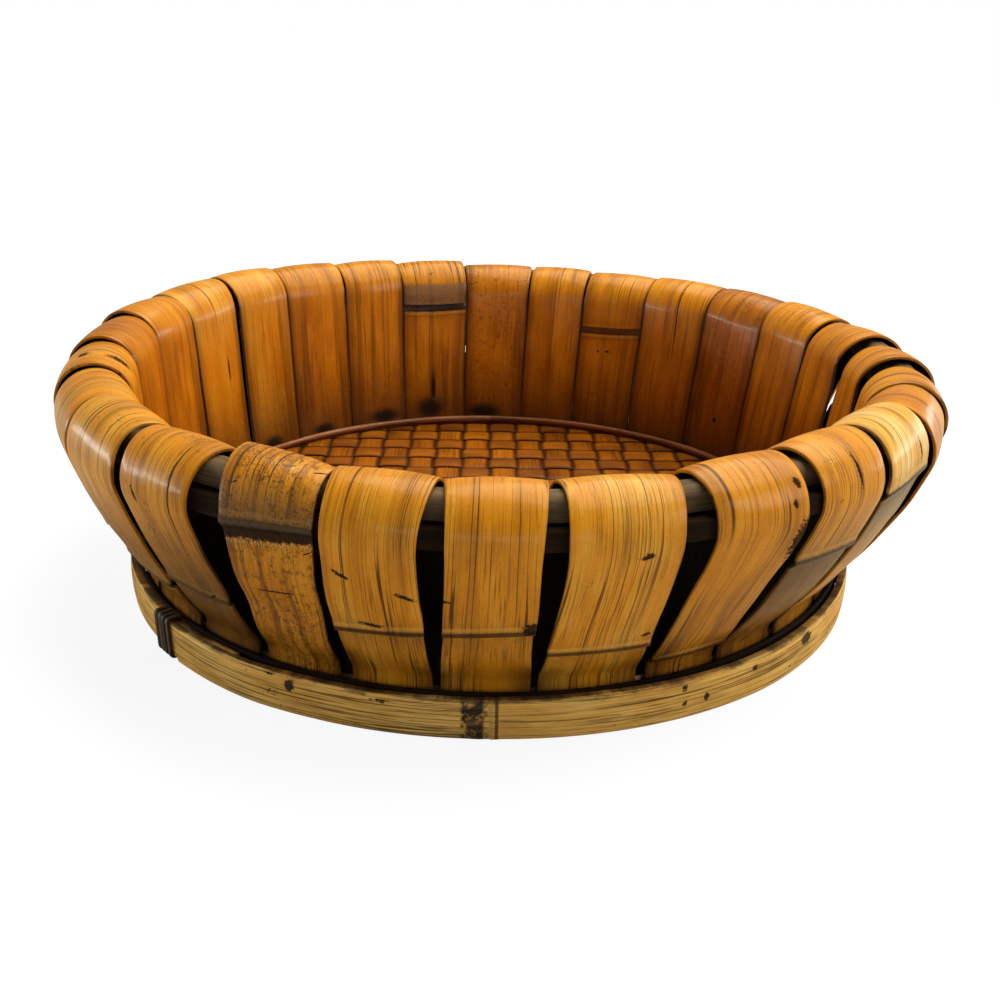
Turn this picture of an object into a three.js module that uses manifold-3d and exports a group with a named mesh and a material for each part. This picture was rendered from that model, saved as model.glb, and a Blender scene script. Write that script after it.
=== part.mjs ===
// Bamboo fruit tray: bent slats rolled over a rim core, held by a foot ring, with a woven floor.
// Millimetres, +Z up, the tray stands on Z = 0 about the Z axis. Angle 0 faces -Y and grows towards +X.
import * as THREE from 'three';
import { mergeVertices } from 'three/addons/utils/BufferGeometryUtils.js';
import Module from 'manifold-3d';

const wasm = await Module();
wasm.setup();

// Driving dimensions of the whole tray
const RIM_RADIUS = 170; // axis to the outermost skin of the rolled rim
const TRAY_HEIGHT = 90.5; // table to the crest of the rim
const ROLL_RADIUS = 15; // skin of a slat where it rolls over the rim core
const FLARE = 25.6; // how far the rim stands out over the foot ring
const FOOT_HEIGHT = 14;
const FLOOR_TOP = 11.6; // highest strips of the woven floor
const CLEARANCE = 0.3; // between any two pieces that touch on the real tray

// Slats
const SLAT_WIDTHS = [30, 39, 33, 32, 37, 36, 33, 32, 36, 35, 37, 37, 35, 31, 34, 36, 33, 35, 32, 36, 34,
  35, 35, 36, 37, 37, 36, 35]; // share of the rim that each slat takes, from the front going right
const FIRST_SEAM = THREE.MathUtils.degToRad(-5.4); // left side of the first slat
const NODE_PLACES = [0.235, 0.175, 0.105, 0.3, 0.385, 0.22, 0.3, 0.18, 0.27, 0.15, 0.31, 0.2, 0.695, 0.16,
  0.24, 0.663, 0.29, 0.17, 0.33, 0.21, 0.15, 0.26, 0.19, 0.23, 0.17, 0.21, 0.4,
  0.22]; // bamboo node, share of slat length
const EDGE_THICKNESS = 0.9;
const CROWN = 0.8; // how much the skin stands above the slat's edges
const CROWN_FLAT = 0.4; // share of the width under the flat of the crown
const CREST_GAP = 2; // between neighbours on the rim
const FOOT_GAP = 1.5; // between neighbours at the foot ring
const INNER_GAP = 0.6; // between neighbours on the inside
const WAIST = 0.9; // each side of a slat draws in by this halfway between foot and crest
const NODE_RIDGE = 0.45;
const NODE_WIDTH = 4.4;
const TOE_HEIGHT = 1.5; // lower end of the outer leg
const HEEL_HEIGHT = 2.5; // lower end of the inner leg
const KNEE_RISE = 2; // straight slat above the foot ring before the knee
const KNEE_PULL = 5; // small for a sharp knee
const LEG_PULL = 30; // how far the roll's lean carries down the outer leg
const ROLL_LEAN = THREE.MathUtils.degToRad(17); // lean of the skin where the roll runs into the outer leg
const LEG_SHARES = [0.04, 0.1, 0.18, 0.3, 0.5, 0.74]; // stations along the outer leg, closest at the knee
const ROLL_STEPS = 10;

// Rim core under the roll
const TOP_HOOP_FROM = THREE.MathUtils.degToRad(58); // ends of the hoop's round top, about the roll's centre
const TOP_HOOP_TO = THREE.MathUtils.degToRad(100);
const TOP_HOOP_STEPS = 3;
const TOP_HOOP_DROP = 7.8; // height of the hoop
const BAND_HEIGHT = 6.4;
const BAND_THICKNESS = 3.6;
const BAND_SEAT = THREE.MathUtils.degToRad(22); // outer band's upper edge, about the roll's centre

// Foot
const FOOT_THICKNESS = 2.6;
const FOOT_CROWN = 0.6; // roundness of the ring's outer face
const TIP_THICKNESS = 1; // scarfed ends of the foot ring
const LAP_STEPS = 3;
const LAP_EASE_STEPS = 2; // the lapped end comes back to the ring's radius over these
const BINDING_THICKNESS = 1.4;
const BINDING_RISE = 0.4; // binding hoop above the ring's upper edge
const CORE_THICKNESS = 1.5; // core hoop between the two legs of the slats
const HOOP_FOOTING = 2; // lower edge of the hoops inside the foot
const RING_STEPS = 60;

// Lashing round the lap of the foot ring
const LASHING_ANGLE = THREE.MathUtils.degToRad(-50);
const LASHING_LOOPS = 4;
const LASHING_WIDTH = 2.2;
const LASHING_THICKNESS = 0.9;
const LASHING_PITCH = 2.8;
const LASHING_CORNER = 1.1; // bend at the middle of the cane
const LASHING_CORNER_STEPS = 3;
const LASHING_FOOTING = 0.15; // above the table
const LASHING_GAP = 0.4; // least gap that the loops keep to each other

// Floor
const STRIP_PITCH = 13;
const STRIP_RISE = 0.9; // arch of a strip over the one it crosses
const STRIP_THICKNESS = 1; // at the seams between strips
const CANE_RADIUS = 1.6;
const CANE_SIDES = 8;
const SUPPORT_THICKNESS = 3;
const BATTEN_WIDTH = 14;
const BATTEN_THICKNESS = 2.4;
const BATTEN_SPACING = 88;

// Sizes that follow from the driving ones
const facet = Math.cos(Math.PI / RING_STEPS); // a ring of flat facets comes this much closer to the axis
const slatThickness = EDGE_THICKNESS + CROWN;
const rimPitch = SLAT_WIDTHS.reduce((sum, width) => sum + width, 0);
const halfWidest = Math.PI * Math.max(...SLAT_WIDTHS) / rimPitch; // half the angle of the widest slat
const rollCentre = new THREE.Vector2(RIM_RADIUS - ROLL_RADIUS, TRAY_HEIGHT - ROLL_RADIUS);
const footRadius = RIM_RADIUS - FLARE; // widest part of the foot ring
const ringInner = footRadius - FOOT_THICKNESS;
const bindingOuter = ringInner * facet - CLEARANCE;
const bindingInner = bindingOuter - BINDING_THICKNESS;
const crownBulge = bindingInner * (1 - Math.cos(CROWN_FLAT * halfWidest));
const footSkin = bindingInner * facet - CLEARANCE - crownBulge;
const kneeStart = FOOT_HEIGHT + KNEE_RISE;
const coreOuter = footSkin - slatThickness - CLEARANCE;
const coreInner = coreOuter - CORE_THICKNESS;
const coreTop = FOOT_HEIGHT - CLEARANCE;
const floorBottom = FLOOR_TOP - STRIP_THICKNESS - 2 * STRIP_RISE;
const supportTop = floorBottom - CLEARANCE;
const caneHeight = FLOOR_TOP + CLEARANCE + CANE_RADIUS;

const colours = {
  slat: ['#c08436', '#b87a2e', '#c98f42', '#b27228'],
  foot: '#a67c42',
  stained: '#3a2413',
  core: '#6f5230',
  floor: '#a8641a',
  cane: '#8a3f14',
  hidden: '#a98a55',
};

const tray = new THREE.Group();

function addPiece(name, geometry, colour, roughness) {
  geometry.computeVertexNormals();
  const material = new THREE.MeshStandardMaterial({ color: colour, roughness, metalness: 0 });
  const mesh = new THREE.Mesh(geometry, material);
  mesh.name = name;
  tray.add(mesh);
}

// Directions at an angle round the tray
const outwards = (angle) => new THREE.Vector3(Math.sin(angle), -Math.cos(angle), 0);
const onwards = (angle) => new THREE.Vector3(Math.cos(angle), Math.sin(angle), 0);

function atAngle(angle, radius, height) {
  return outwards(angle).multiplyScalar(radius).setZ(height);
}

// Closed skin over a row of cross-sections. Each section lists its points the same way round,
// anticlockwise for someone whom the row comes towards.
function skin(sections) {
  const sides = sections[0].length;
  const positions = sections.flat().flatMap((point) => point.toArray());
  const indices = [];
  for (let row = 0; row < sections.length - 1; row += 1) {
    for (let side = 0; side < sides; side += 1) {
      const here = row * sides + side;
      const beside = row * sides + (side + 1) % sides;
      indices.push(here, beside, beside + sides);
      indices.push(here, beside + sides, here + sides);
    }
  }
  const last = (sections.length - 1) * sides;
  for (let side = 1; side < sides - 1; side += 1) {
    indices.push(0, side + 1, side);
    indices.push(last, last + side, last + side + 1);
  }
  const geometry = new THREE.BufferGeometry();
  geometry.setAttribute('position', new THREE.Float32BufferAttribute(positions, 3));
  geometry.setIndex(indices);
  return geometry;
}

// Full hoop turned from a section given as radius and height
function hoop(section) {
  const closed = [...section, section[0]].map(([radius, height]) => new THREE.Vector2(radius, height));
  const geometry = new THREE.LatheGeometry(closed, RING_STEPS);
  return geometry.rotateX(Math.PI / 2);
}

function bandSection(inner, outer, bottom, top) {
  return [[inner, bottom], [outer, bottom], [outer, top], [inner, top]];
}

function solidOf(geometry) {
  const bare = geometry.clone();
  bare.deleteAttribute('normal');
  bare.deleteAttribute('uv');
  const merged = mergeVertices(bare);
  return new wasm.Manifold(new wasm.Mesh({
    numProp: 3,
    vertProperties: new Float32Array(merged.attributes.position.array),
    triVerts: new Uint32Array(merged.index.array),
  }));
}

function geometryOf(solid) {
  const mesh = solid.getMesh();
  const geometry = new THREE.BufferGeometry();
  geometry.setAttribute('position', new THREE.BufferAttribute(mesh.vertProperties, 3));
  geometry.setIndex(new THREE.BufferAttribute(mesh.triVerts, 1));
  return geometry;
}

// Line that the skin of every slat follows, as radius and height, from the foot over the rim to the floor.
// The inner leg leaves the roll straight, is pressed against the core hoop's upper edge and goes on down.
function slatLine() {
  const pressRadius = (coreInner * facet - CLEARANCE) * Math.cos(halfWidest) - slatThickness;
  const press = new THREE.Vector2(pressRadius, coreTop);
  const toCentre = rollCentre.clone().sub(press);
  const innerLean = Math.atan2(toCentre.x, toCentre.y) - Math.asin(ROLL_RADIUS / toCentre.length());
  const heel = new THREE.Vector2(pressRadius - (coreTop - HEEL_HEIGHT) * Math.tan(innerLean), HEEL_HEIGHT);
  const roll = new THREE.EllipseCurve(
    rollCentre.x, rollCentre.y, ROLL_RADIUS, ROLL_RADIUS, -ROLL_LEAN, Math.PI - innerLean, false, 0);
  const toe = new THREE.Vector2(footSkin, TOE_HEIGHT);
  const knee = new THREE.Vector2(footSkin, kneeStart);
  const kneeHandle = new THREE.Vector2(footSkin, kneeStart + KNEE_PULL);
  const rollStart = roll.getPoint(0);
  const lean = new THREE.Vector2(Math.sin(ROLL_LEAN), Math.cos(ROLL_LEAN));
  const legHandle = rollStart.clone().addScaledVector(lean, -LEG_PULL);
  const line = new THREE.CurvePath();
  line.add(new THREE.LineCurve(toe, knee));
  line.add(new THREE.CubicBezierCurve(knee, kneeHandle, legHandle, rollStart));
  line.add(roll);
  line.add(new THREE.LineCurve(roll.getPoint(1), heel));
  return line;
}

const line = slatLine();
const [kneeLength, rollLength, innerLength, slatLength] = line.getCurveLengths();
const crestLength = rollLength + ROLL_RADIUS * (Math.PI / 2 + ROLL_LEAN);

// Radius of the inner legs' skin at a height
function innerSkinAt(height) {
  const { v1: upper, v2: heel } = line.curves.at(-1);
  return THREE.MathUtils.mapLinear(height, upper.y, heel.y, upper.x, heel.x);
}

const supportOuter = innerSkinAt(HEEL_HEIGHT) - CLEARANCE;

function slatStations(nodeLength) {
  const lengths = [0, kneeLength, rollLength, slatLength];
  for (const share of LEG_SHARES) {
    lengths.push(kneeLength + share * (rollLength - kneeLength));
  }
  for (let step = 1; step <= ROLL_STEPS; step += 1) {
    lengths.push(rollLength + (innerLength - rollLength) * step / ROLL_STEPS);
  }
  lengths.push(nodeLength - NODE_WIDTH / 2, nodeLength, nodeLength + NODE_WIDTH / 2);
  return lengths.sort((a, b) => a - b);
}

function slat(middle, angleWidth, nodePlace) {
  const nodeLength = nodePlace * slatLength;
  const spread = Math.tan(angleWidth / 2);
  const footHalf = (footSkin - slatThickness) * spread - FOOT_GAP / 2;
  const crestHalf = rollCentre.x * spread - CREST_GAP / 2;
  const sections = slatStations(nodeLength).map((length) => {
    const place = line.getPoint(length / slatLength);
    const travel = line.getTangent(length / slatLength);
    const climb = length / crestLength;
    const outerHalf = THREE.MathUtils.lerp(footHalf, crestHalf, climb) - WAIST * Math.sin(Math.PI * climb);
    const innerHalf = Math.min(crestHalf, place.x * spread - INNER_GAP / 2);
    const half = length < crestLength ? outerHalf : innerHalf;
    const ridge = length === nodeLength ? NODE_RIDGE : 0;
    const origin = atAngle(middle, place.x, place.y);
    const normal = outwards(middle).multiplyScalar(travel.y).setZ(-travel.x);
    const across = onwards(middle).negate();
    const corner = (side, lift) => origin.clone()
      .addScaledVector(across, side * half).addScaledVector(normal, lift);
    return [
      corner(-1, -slatThickness), corner(1, -slatThickness), corner(1, ridge - CROWN),
      corner(CROWN_FLAT, ridge), corner(-CROWN_FLAT, ridge), corner(-1, ridge - CROWN),
    ];
  });
  return skin(sections);
}

let seam = FIRST_SEAM;
SLAT_WIDTHS.forEach((width, index) => {
  const angleWidth = 2 * Math.PI * width / rimPitch;
  const name = `slat_${String(index + 1).padStart(2, '0')}`;
  const colour = colours.slat[index % colours.slat.length];
  addPiece(name, slat(seam + angleWidth / 2, angleWidth, NODE_PLACES[index]), colour, 0.35);
  seam += angleWidth;
});

// Rim core: a round-topped hoop that the slats bear on, an outer band that they are bent round,
// and an inner band under the hoop
function rimCore() {
  const hollow = ROLL_RADIUS - slatThickness - CLEARANCE;
  const chordRise = rollCentre.x * (1 - Math.cos(halfWidest)); // a straight slat leaves the round by this
  const seatRadius = hollow + chordRise * Math.cos(TOP_HOOP_TO);
  const seat = [];
  for (let step = 0; step <= TOP_HOOP_STEPS; step += 1) {
    const angle = THREE.MathUtils.lerp(TOP_HOOP_FROM, TOP_HOOP_TO, step / TOP_HOOP_STEPS);
    seat.push([rollCentre.x + seatRadius * Math.cos(angle), rollCentre.y + seatRadius * Math.sin(angle)]);
  }
  const top = rollCentre.y + seatRadius;
  const bottom = top - TOP_HOOP_DROP;
  const outer = seat[0][0];
  const inner = seat[TOP_HOOP_STEPS][0];
  addPiece('rim_top_hoop', hoop([[inner, bottom], [outer, bottom], ...seat]), colours.core, 0.7);
  const bandOuter = rollCentre.x + hollow * Math.cos(BAND_SEAT);
  const outerTop = rollCentre.y + hollow * Math.sin(BAND_SEAT);
  const innerTop = bottom - CLEARANCE;
  const outerBand = bandSection(bandOuter - BAND_THICKNESS, bandOuter, outerTop - BAND_HEIGHT, outerTop);
  const innerBand = bandSection(inner, inner + BAND_THICKNESS, innerTop - BAND_HEIGHT, innerTop);
  addPiece('rim_outer_band', hoop(outerBand), colours.stained, 0.7);
  addPiece('rim_inner_band', hoop(innerBand), colours.stained, 0.7);
}
rimCore();

// Section of a bent strip at one angle, with an outer face that is a little round
function stripSection(angle, inner, thickness, bottom, top, crown) {
  const outer = inner + thickness;
  const middle = (bottom + top) / 2;
  return [
    atAngle(angle, inner, bottom), atAngle(angle, inner, top), atAngle(angle, outer - crown, top),
    atAngle(angle, outer, middle), atAngle(angle, outer - crown, bottom),
  ];
}

const stepAngle = 2 * Math.PI / RING_STEPS;
const lashingSpan = LASHING_LOOPS * LASHING_PITCH + LASHING_WIDTH;
const tipAngle = LASHING_ANGLE - lashingSpan / 2 / footRadius;
const lapRise = FOOT_THICKNESS + CLEARANCE + TIP_THICKNESS; // both ends of the foot ring, where they lap
const lashingFloor = LASHING_FOOTING + LASHING_THICKNESS + CLEARANCE;

// Foot ring: one bent strip, its first end lapped outside its last, both scarfed
function footRing() {
  const sections = [];
  for (let step = 0; step <= RING_STEPS + LAP_STEPS; step += 1) {
    const intoLap = Math.min(step / LAP_STEPS, 1);
    const ease = Math.min(Math.max(step - LAP_STEPS, 0) / LAP_EASE_STEPS, 1);
    const lastEnd = Math.max(step - RING_STEPS, 0) / LAP_STEPS;
    const tipLift = THREE.MathUtils.lerp(FOOT_THICKNESS, TIP_THICKNESS, intoLap) + CLEARANCE;
    const firstThickness = THREE.MathUtils.lerp(TIP_THICKNESS, FOOT_THICKNESS, intoLap);
    const thickness = THREE.MathUtils.lerp(firstThickness, TIP_THICKNESS, lastEnd);
    const inner = ringInner + tipLift * (1 - ease);
    const crown = FOOT_CROWN * (1 - lastEnd) * intoLap;
    sections.push(stripSection(tipAngle + step * stepAngle, inner, thickness, 0, FOOT_HEIGHT, crown));
  }
  // The lashing passes under the ring in a slot
  const slot = new THREE.BoxGeometry(lashingSpan + 2 * CLEARANCE, 4 * lapRise, 2 * lashingFloor);
  slot.rotateZ(LASHING_ANGLE);
  slot.translate(...atAngle(LASHING_ANGLE, footRadius, 0).toArray());
  return geometryOf(solidOf(skin(sections)).subtract(solidOf(slot)));
}
addPiece('foot_ring', footRing(), colours.foot, 0.45);

// Binding hoop between slats and foot ring, open where the lashing passes behind the ring
function bindingHoop() {
  const halfWindow = (lashingSpan / 2 + 2 * CLEARANCE) / bindingInner;
  const start = LASHING_ANGLE + halfWindow;
  const sweep = 2 * Math.PI - 2 * halfWindow;
  const sections = [];
  for (let step = 0; step <= RING_STEPS; step += 1) {
    const angle = start + sweep * step / RING_STEPS;
    const top = FOOT_HEIGHT + BINDING_RISE;
    sections.push([
      atAngle(angle, bindingInner, HOOP_FOOTING), atAngle(angle, bindingInner, top),
      atAngle(angle, bindingOuter, top), atAngle(angle, bindingOuter, HOOP_FOOTING),
    ]);
  }
  return skin(sections);
}
addPiece('foot_binding_hoop', bindingHoop(), colours.stained, 0.6);

// Core hoop between the two legs of the slats, which are pressed against it
const coreSection = bandSection(coreInner, coreOuter, HOOP_FOOTING, coreTop);
addPiece('foot_core_hoop', hoop(coreSection), colours.hidden, 0.7);

// Lashing: one cane wound round the lap of the foot ring
function lashing() {
  const spare = CLEARANCE + LASHING_THICKNESS / 2;
  const left = ringInner * facet - spare;
  const right = ringInner + lapRise + spare;
  const bottom = LASHING_FOOTING + LASHING_THICKNESS / 2;
  const top = FOOT_HEIGHT + spare;
  const corners = [[left, top], [right, top], [right, bottom], [left, bottom]];
  const quarter = Math.PI / 2;
  const loop = [];
  corners.forEach(([radius, height], index) => {
    const centreRadius = radius + LASHING_CORNER * (radius === left ? 1 : -1);
    const centreHeight = height + LASHING_CORNER * (height === bottom ? 1 : -1);
    for (let step = 0; step <= LASHING_CORNER_STEPS; step += 1) {
      const turn = Math.PI - quarter * (index + step / LASHING_CORNER_STEPS);
      loop.push({
        radius: centreRadius + LASHING_CORNER * Math.cos(turn),
        height: centreHeight + LASHING_CORNER * Math.sin(turn),
        turn,
      });
    }
  });
  const halfWidth = LASHING_WIDTH / 2;
  const halfThickness = LASHING_THICKNESS / 2;
  const shoulder = halfWidth - halfThickness;
  const outline = [
    [halfWidth, 0], [shoulder, halfThickness], [-shoulder, halfThickness],
    [-halfWidth, 0], [-shoulder, -halfThickness], [shoulder, -halfThickness],
  ];
  const steps = LASHING_LOOPS * loop.length;
  const sections = [];
  for (let step = 0; step <= steps; step += 1) {
    const place = loop[step % loop.length];
    const along = LASHING_PITCH * (step / loop.length - LASHING_LOOPS / 2);
    const origin = atAngle(LASHING_ANGLE, place.radius, place.height);
    const sideways = onwards(LASHING_ANGLE);
    const normal = outwards(LASHING_ANGLE).multiplyScalar(Math.cos(place.turn)).setZ(Math.sin(place.turn));
    sections.push(outline.map(([across, lift]) => origin.clone()
      .addScaledVector(sideways, along + across).addScaledVector(normal, lift)));
  }
  return { geometry: skin(sections), sections, stepsPerLoop: loop.length };
}

// Least distance between points of the lashing that are half a loop or more apart
function leastGap({ sections, stepsPerLoop }) {
  let least = Infinity;
  for (let row = 0; row < sections.length; row += 1) {
    for (let other = row + stepsPerLoop / 2; other < sections.length; other += 1) {
      for (const point of sections[row]) {
        for (const far of sections[other]) {
          least = Math.min(least, point.distanceTo(far));
        }
      }
    }
  }
  return least;
}

const wound = lashing();
const lashingGap = leastGap(wound);
console.log(`least gap of the lashing to itself ${lashingGap.toFixed(2)} mm, at least ${LASHING_GAP} wanted`);
addPiece('foot_lashing', wound.geometry, colours.stained, 0.6);

// Woven floor: strips along Y and along X arch over each other by turns, cut to a round mat
function wovenFloor() {
  const count = Math.ceil(supportOuter / STRIP_PITCH);
  const upper = FLOOR_TOP - STRIP_RISE;
  const lower = upper - STRIP_THICKNESS;
  const corners = [];
  const face = (...points) => {
    for (let index = 1; index < points.length - 1; index += 1) {
      corners.push(...points[0], ...points[index], ...points[index + 1]);
    }
  };
  // One face of one crossing: the strip in front arches along one direction, up or down
  const arch = (x, y, alongX, level, rise) => {
    const half = STRIP_PITCH / 2;
    const turned = (along, across, height) => (alongX
      ? [x + along * half, y + across * half, height]
      : [x + across * half, y + along * half, height]);
    const low = (along, across) => turned(along, across, level);
    const crest = (across) => turned(0, across, level + rise);
    const panels = [
      [low(-1, -1), crest(-1), crest(1), low(-1, 1)],
      [crest(-1), low(1, -1), low(1, 1), crest(1)],
      [low(-1, -1), low(1, -1), crest(-1)],
      [crest(1), low(1, 1), low(-1, 1)],
    ];
    const mirrored = alongX === (rise < 0);
    panels.forEach((panel) => face(...(mirrored ? panel.reverse() : panel)));
  };
  for (let column = -count; column < count; column += 1) {
    for (let row = -count; row < count; row += 1) {
      const x = (column + 0.5) * STRIP_PITCH;
      const y = (row + 0.5) * STRIP_PITCH;
      const weftOver = (column + row) % 2 === 0;
      arch(x, y, weftOver, upper, STRIP_RISE);
      arch(x, y, !weftOver, lower, -STRIP_RISE);
    }
  }
  const edge = count * STRIP_PITCH;
  for (let cell = -count; cell < count; cell += 1) {
    const from = cell * STRIP_PITCH;
    const to = from + STRIP_PITCH;
    face([from, -edge, lower], [to, -edge, lower], [to, -edge, upper], [from, -edge, upper]);
    face([to, edge, lower], [from, edge, lower], [from, edge, upper], [to, edge, upper]);
    face([-edge, to, lower], [-edge, from, lower], [-edge, from, upper], [-edge, to, upper]);
    face([edge, from, lower], [edge, to, lower], [edge, to, upper], [edge, from, upper]);
  }
  const mat = new THREE.BufferGeometry();
  mat.setAttribute('position', new THREE.Float32BufferAttribute(corners, 3));
  const round = new THREE.CylinderGeometry(supportOuter, supportOuter, 2 * FLOOR_TOP, RING_STEPS);
  round.rotateX(Math.PI / 2);
  return geometryOf(solidOf(mat).intersect(solidOf(round)));
}
addPiece('woven_floor', wovenFloor(), colours.floor, 0.4);

// Round cane that holds the edge of the floor down, against the inner legs
function caneRing() {
  const radius = innerSkinAt(caneHeight) - CLEARANCE - CANE_RADIUS;
  const ring = new THREE.TorusGeometry(radius, CANE_RADIUS, CANE_SIDES, RING_STEPS);
  return ring.translate(0, 0, caneHeight);
}
addPiece('floor_cane_ring', caneRing(), colours.cane, 0.3);

// Support hoop under the edge of the floor, notched for the battens that carry the floor's middle
function batten(side, length, spare) {
  const box = new THREE.BoxGeometry(BATTEN_WIDTH + 2 * spare, length, BATTEN_THICKNESS + 2 * spare);
  return box.translate(side * BATTEN_SPACING / 2, 0, supportTop - BATTEN_THICKNESS / 2);
}

function supportHoop() {
  const inner = supportOuter - SUPPORT_THICKNESS;
  const plain = solidOf(hoop(bandSection(inner, supportOuter, HOOP_FOOTING, supportTop)));
  const [left, right] = [-1, 1].map((side) => solidOf(batten(side, 2 * supportOuter, CLEARANCE)));
  return geometryOf(plain.subtract(left).subtract(right));
}
const battenEdge = (BATTEN_SPACING + BATTEN_WIDTH) / 2;
const battenLength = 2 * Math.sqrt((supportOuter * facet) ** 2 - battenEdge ** 2);
addPiece('floor_support_hoop', supportHoop(), colours.hidden, 0.7);
addPiece('floor_batten_left', batten(-1, battenLength, 0), colours.hidden, 0.6);
addPiece('floor_batten_right', batten(1, battenLength, 0), colours.hidden, 0.6);

export default tray;
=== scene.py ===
# %% [markdown]
# # A bamboo fruit tray
# The tray is made of 28 split bamboo slats that are bent over a hidden rim core, tied into a foot ring and
# closed by a woven floor. The CAD model gives the main sizes and places. This lesson models each piece over
# it with Blender's own tools, as you would by hand, and then gives it an old lacquered bamboo finish.

# %% Load the frame
import math

import bpy
import numpy as np
from mathutils import Matrix, Vector


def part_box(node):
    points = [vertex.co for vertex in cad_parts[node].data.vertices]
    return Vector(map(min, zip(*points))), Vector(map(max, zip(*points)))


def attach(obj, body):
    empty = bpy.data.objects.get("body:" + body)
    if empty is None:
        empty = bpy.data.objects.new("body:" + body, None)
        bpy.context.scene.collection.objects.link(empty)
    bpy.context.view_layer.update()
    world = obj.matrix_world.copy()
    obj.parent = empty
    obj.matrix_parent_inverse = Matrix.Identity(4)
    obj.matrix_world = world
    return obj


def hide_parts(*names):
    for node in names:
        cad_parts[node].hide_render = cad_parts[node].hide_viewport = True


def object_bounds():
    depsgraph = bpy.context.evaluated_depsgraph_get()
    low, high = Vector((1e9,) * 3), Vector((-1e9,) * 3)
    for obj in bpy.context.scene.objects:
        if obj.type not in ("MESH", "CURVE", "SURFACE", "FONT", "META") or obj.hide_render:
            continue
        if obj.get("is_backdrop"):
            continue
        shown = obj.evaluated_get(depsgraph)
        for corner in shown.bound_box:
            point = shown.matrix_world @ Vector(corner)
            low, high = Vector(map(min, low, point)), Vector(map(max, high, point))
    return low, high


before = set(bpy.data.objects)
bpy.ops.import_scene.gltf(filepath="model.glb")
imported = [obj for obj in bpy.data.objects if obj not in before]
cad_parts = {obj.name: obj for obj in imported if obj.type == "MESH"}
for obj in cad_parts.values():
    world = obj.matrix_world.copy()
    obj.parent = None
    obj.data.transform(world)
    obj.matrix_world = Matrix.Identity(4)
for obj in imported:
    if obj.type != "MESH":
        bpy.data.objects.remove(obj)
cad_low, cad_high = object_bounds()
MM = 0.001


def in_mm(lengths):
    return [round(length / MM, 1) for length in lengths]


print("CAD box in mm:", in_mm(high - low for low, high in zip(cad_low, cad_high)))

# %% [markdown]
# ## Where the lens is
# The photograph looks down at the tray by about 22 degrees from half a metre away, so the lens is fairly
# wide. The camera is set first, because every later choice of detail depends on what it shows. A small roll
# and shift stand for the photographer's hand.

# %% Camera
TARGET = Vector((0, 0, 0.0255))
DISTANCE = 0.4973
ELEVATION = math.radians(21.84)
CAMERA_ROLL = math.radians(0.81)
camera_data = bpy.data.cameras.new("photo_camera")
camera_data.lens = 43.17
camera_data.sensor_width = 36
camera_data.shift_x = 0.0112
camera_data.shift_y = -0.0095
camera = bpy.data.objects.new("photo_camera", camera_data)
bpy.context.collection.objects.link(camera)
towards = Vector((0, -math.cos(ELEVATION), math.sin(ELEVATION)))
stand = Matrix.Translation(TARGET + towards * DISTANCE)
level = towards.to_track_quat("Z", "Y").to_matrix().to_4x4()
camera.matrix_world = stand @ level @ Matrix.Rotation(CAMERA_ROLL, 4, "Z")
bpy.context.scene.camera = camera
bpy.context.scene.view_settings.view_transform = "Standard"
print("camera at", [round(c, 3) for c in camera.location])

# %% [markdown]
# ## Small helpers for modelling
# Operators act on whatever is selected, so each step starts from nothing selected. In edit mode we pick
# points by their place, as you would with a box select.

# %% Helpers for selecting
def deselect_all():
    bpy.ops.object.select_all(action="DESELECT")


def pick(piece):
    """Makes one piece the only selected and active one."""
    deselect_all()
    piece.select_set(True)
    bpy.context.view_layer.objects.active = piece


def open_all(piece):
    """Opens one piece in edit mode with all of it selected."""
    pick(piece)
    bpy.ops.object.mode_set(mode="EDIT")
    bpy.ops.mesh.select_all(action="SELECT")


def close():
    bpy.ops.object.mode_set(mode="OBJECT")


def select_where(piece, test):
    """In edit mode, selects the points whose place passes the test."""
    bpy.ops.mesh.select_mode(type="VERT")
    bpy.ops.mesh.select_all(action="DESELECT")
    close()
    for point in piece.data.vertices:
        point.select = bool(test(point.co))
    bpy.ops.object.mode_set(mode="EDIT")


def places(piece):
    """The points of a piece as rows of x, y, z."""
    flat = np.empty(len(piece.data.vertices) * 3)
    piece.data.vertices.foreach_get("co", flat)
    return flat.reshape(-1, 3)


print("selection helpers ready")

# %% [markdown]
# ## One slat, bent from a flat strip
# A slat is a strip of split bamboo that was heated and bent. It stands upright behind the foot ring, kinks
# outwards, leans out in a long easy curve, rolls over the rim and comes straight down inside. You could
# draw that line as a curve, but a grid that is spun three times and then extruded gives the same bends as
# the maker's hands did: the knee, the leg and the roll are each a part of a circle.

# %% Sizes of the slat's line
RIM_RADIUS = 170 * MM
TRAY_HEIGHT = 90.5 * MM
ROLL_RADIUS = 15 * MM
ROLL_LEAN = math.radians(17)
KNEE_RADIUS = 6 * MM
BLANK_HALF = 16 * MM
HEEL = 2.5 * MM
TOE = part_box("slat_01")[0].z
FOOT_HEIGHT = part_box("foot_ring")[1].z
KNEE = FOOT_HEIGHT + 2 * MM
roll_place = RIM_RADIUS - ROLL_RADIUS
roll_height = TRAY_HEIGHT - ROLL_RADIUS


def slat_rows(name):
    """The CAD slat turned to the front: its angle, and its points as sideways, radius and height."""
    rows = places(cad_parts[name])
    middle = rows.mean(axis=0)
    angle = math.atan2(middle[0], -middle[1])
    sideways = rows[:, 0] * math.cos(angle) + rows[:, 1] * math.sin(angle)
    radius = rows[:, 0] * math.sin(angle) - rows[:, 1] * math.cos(angle)
    return angle, np.column_stack((sideways, radius, rows[:, 2]))


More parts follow.
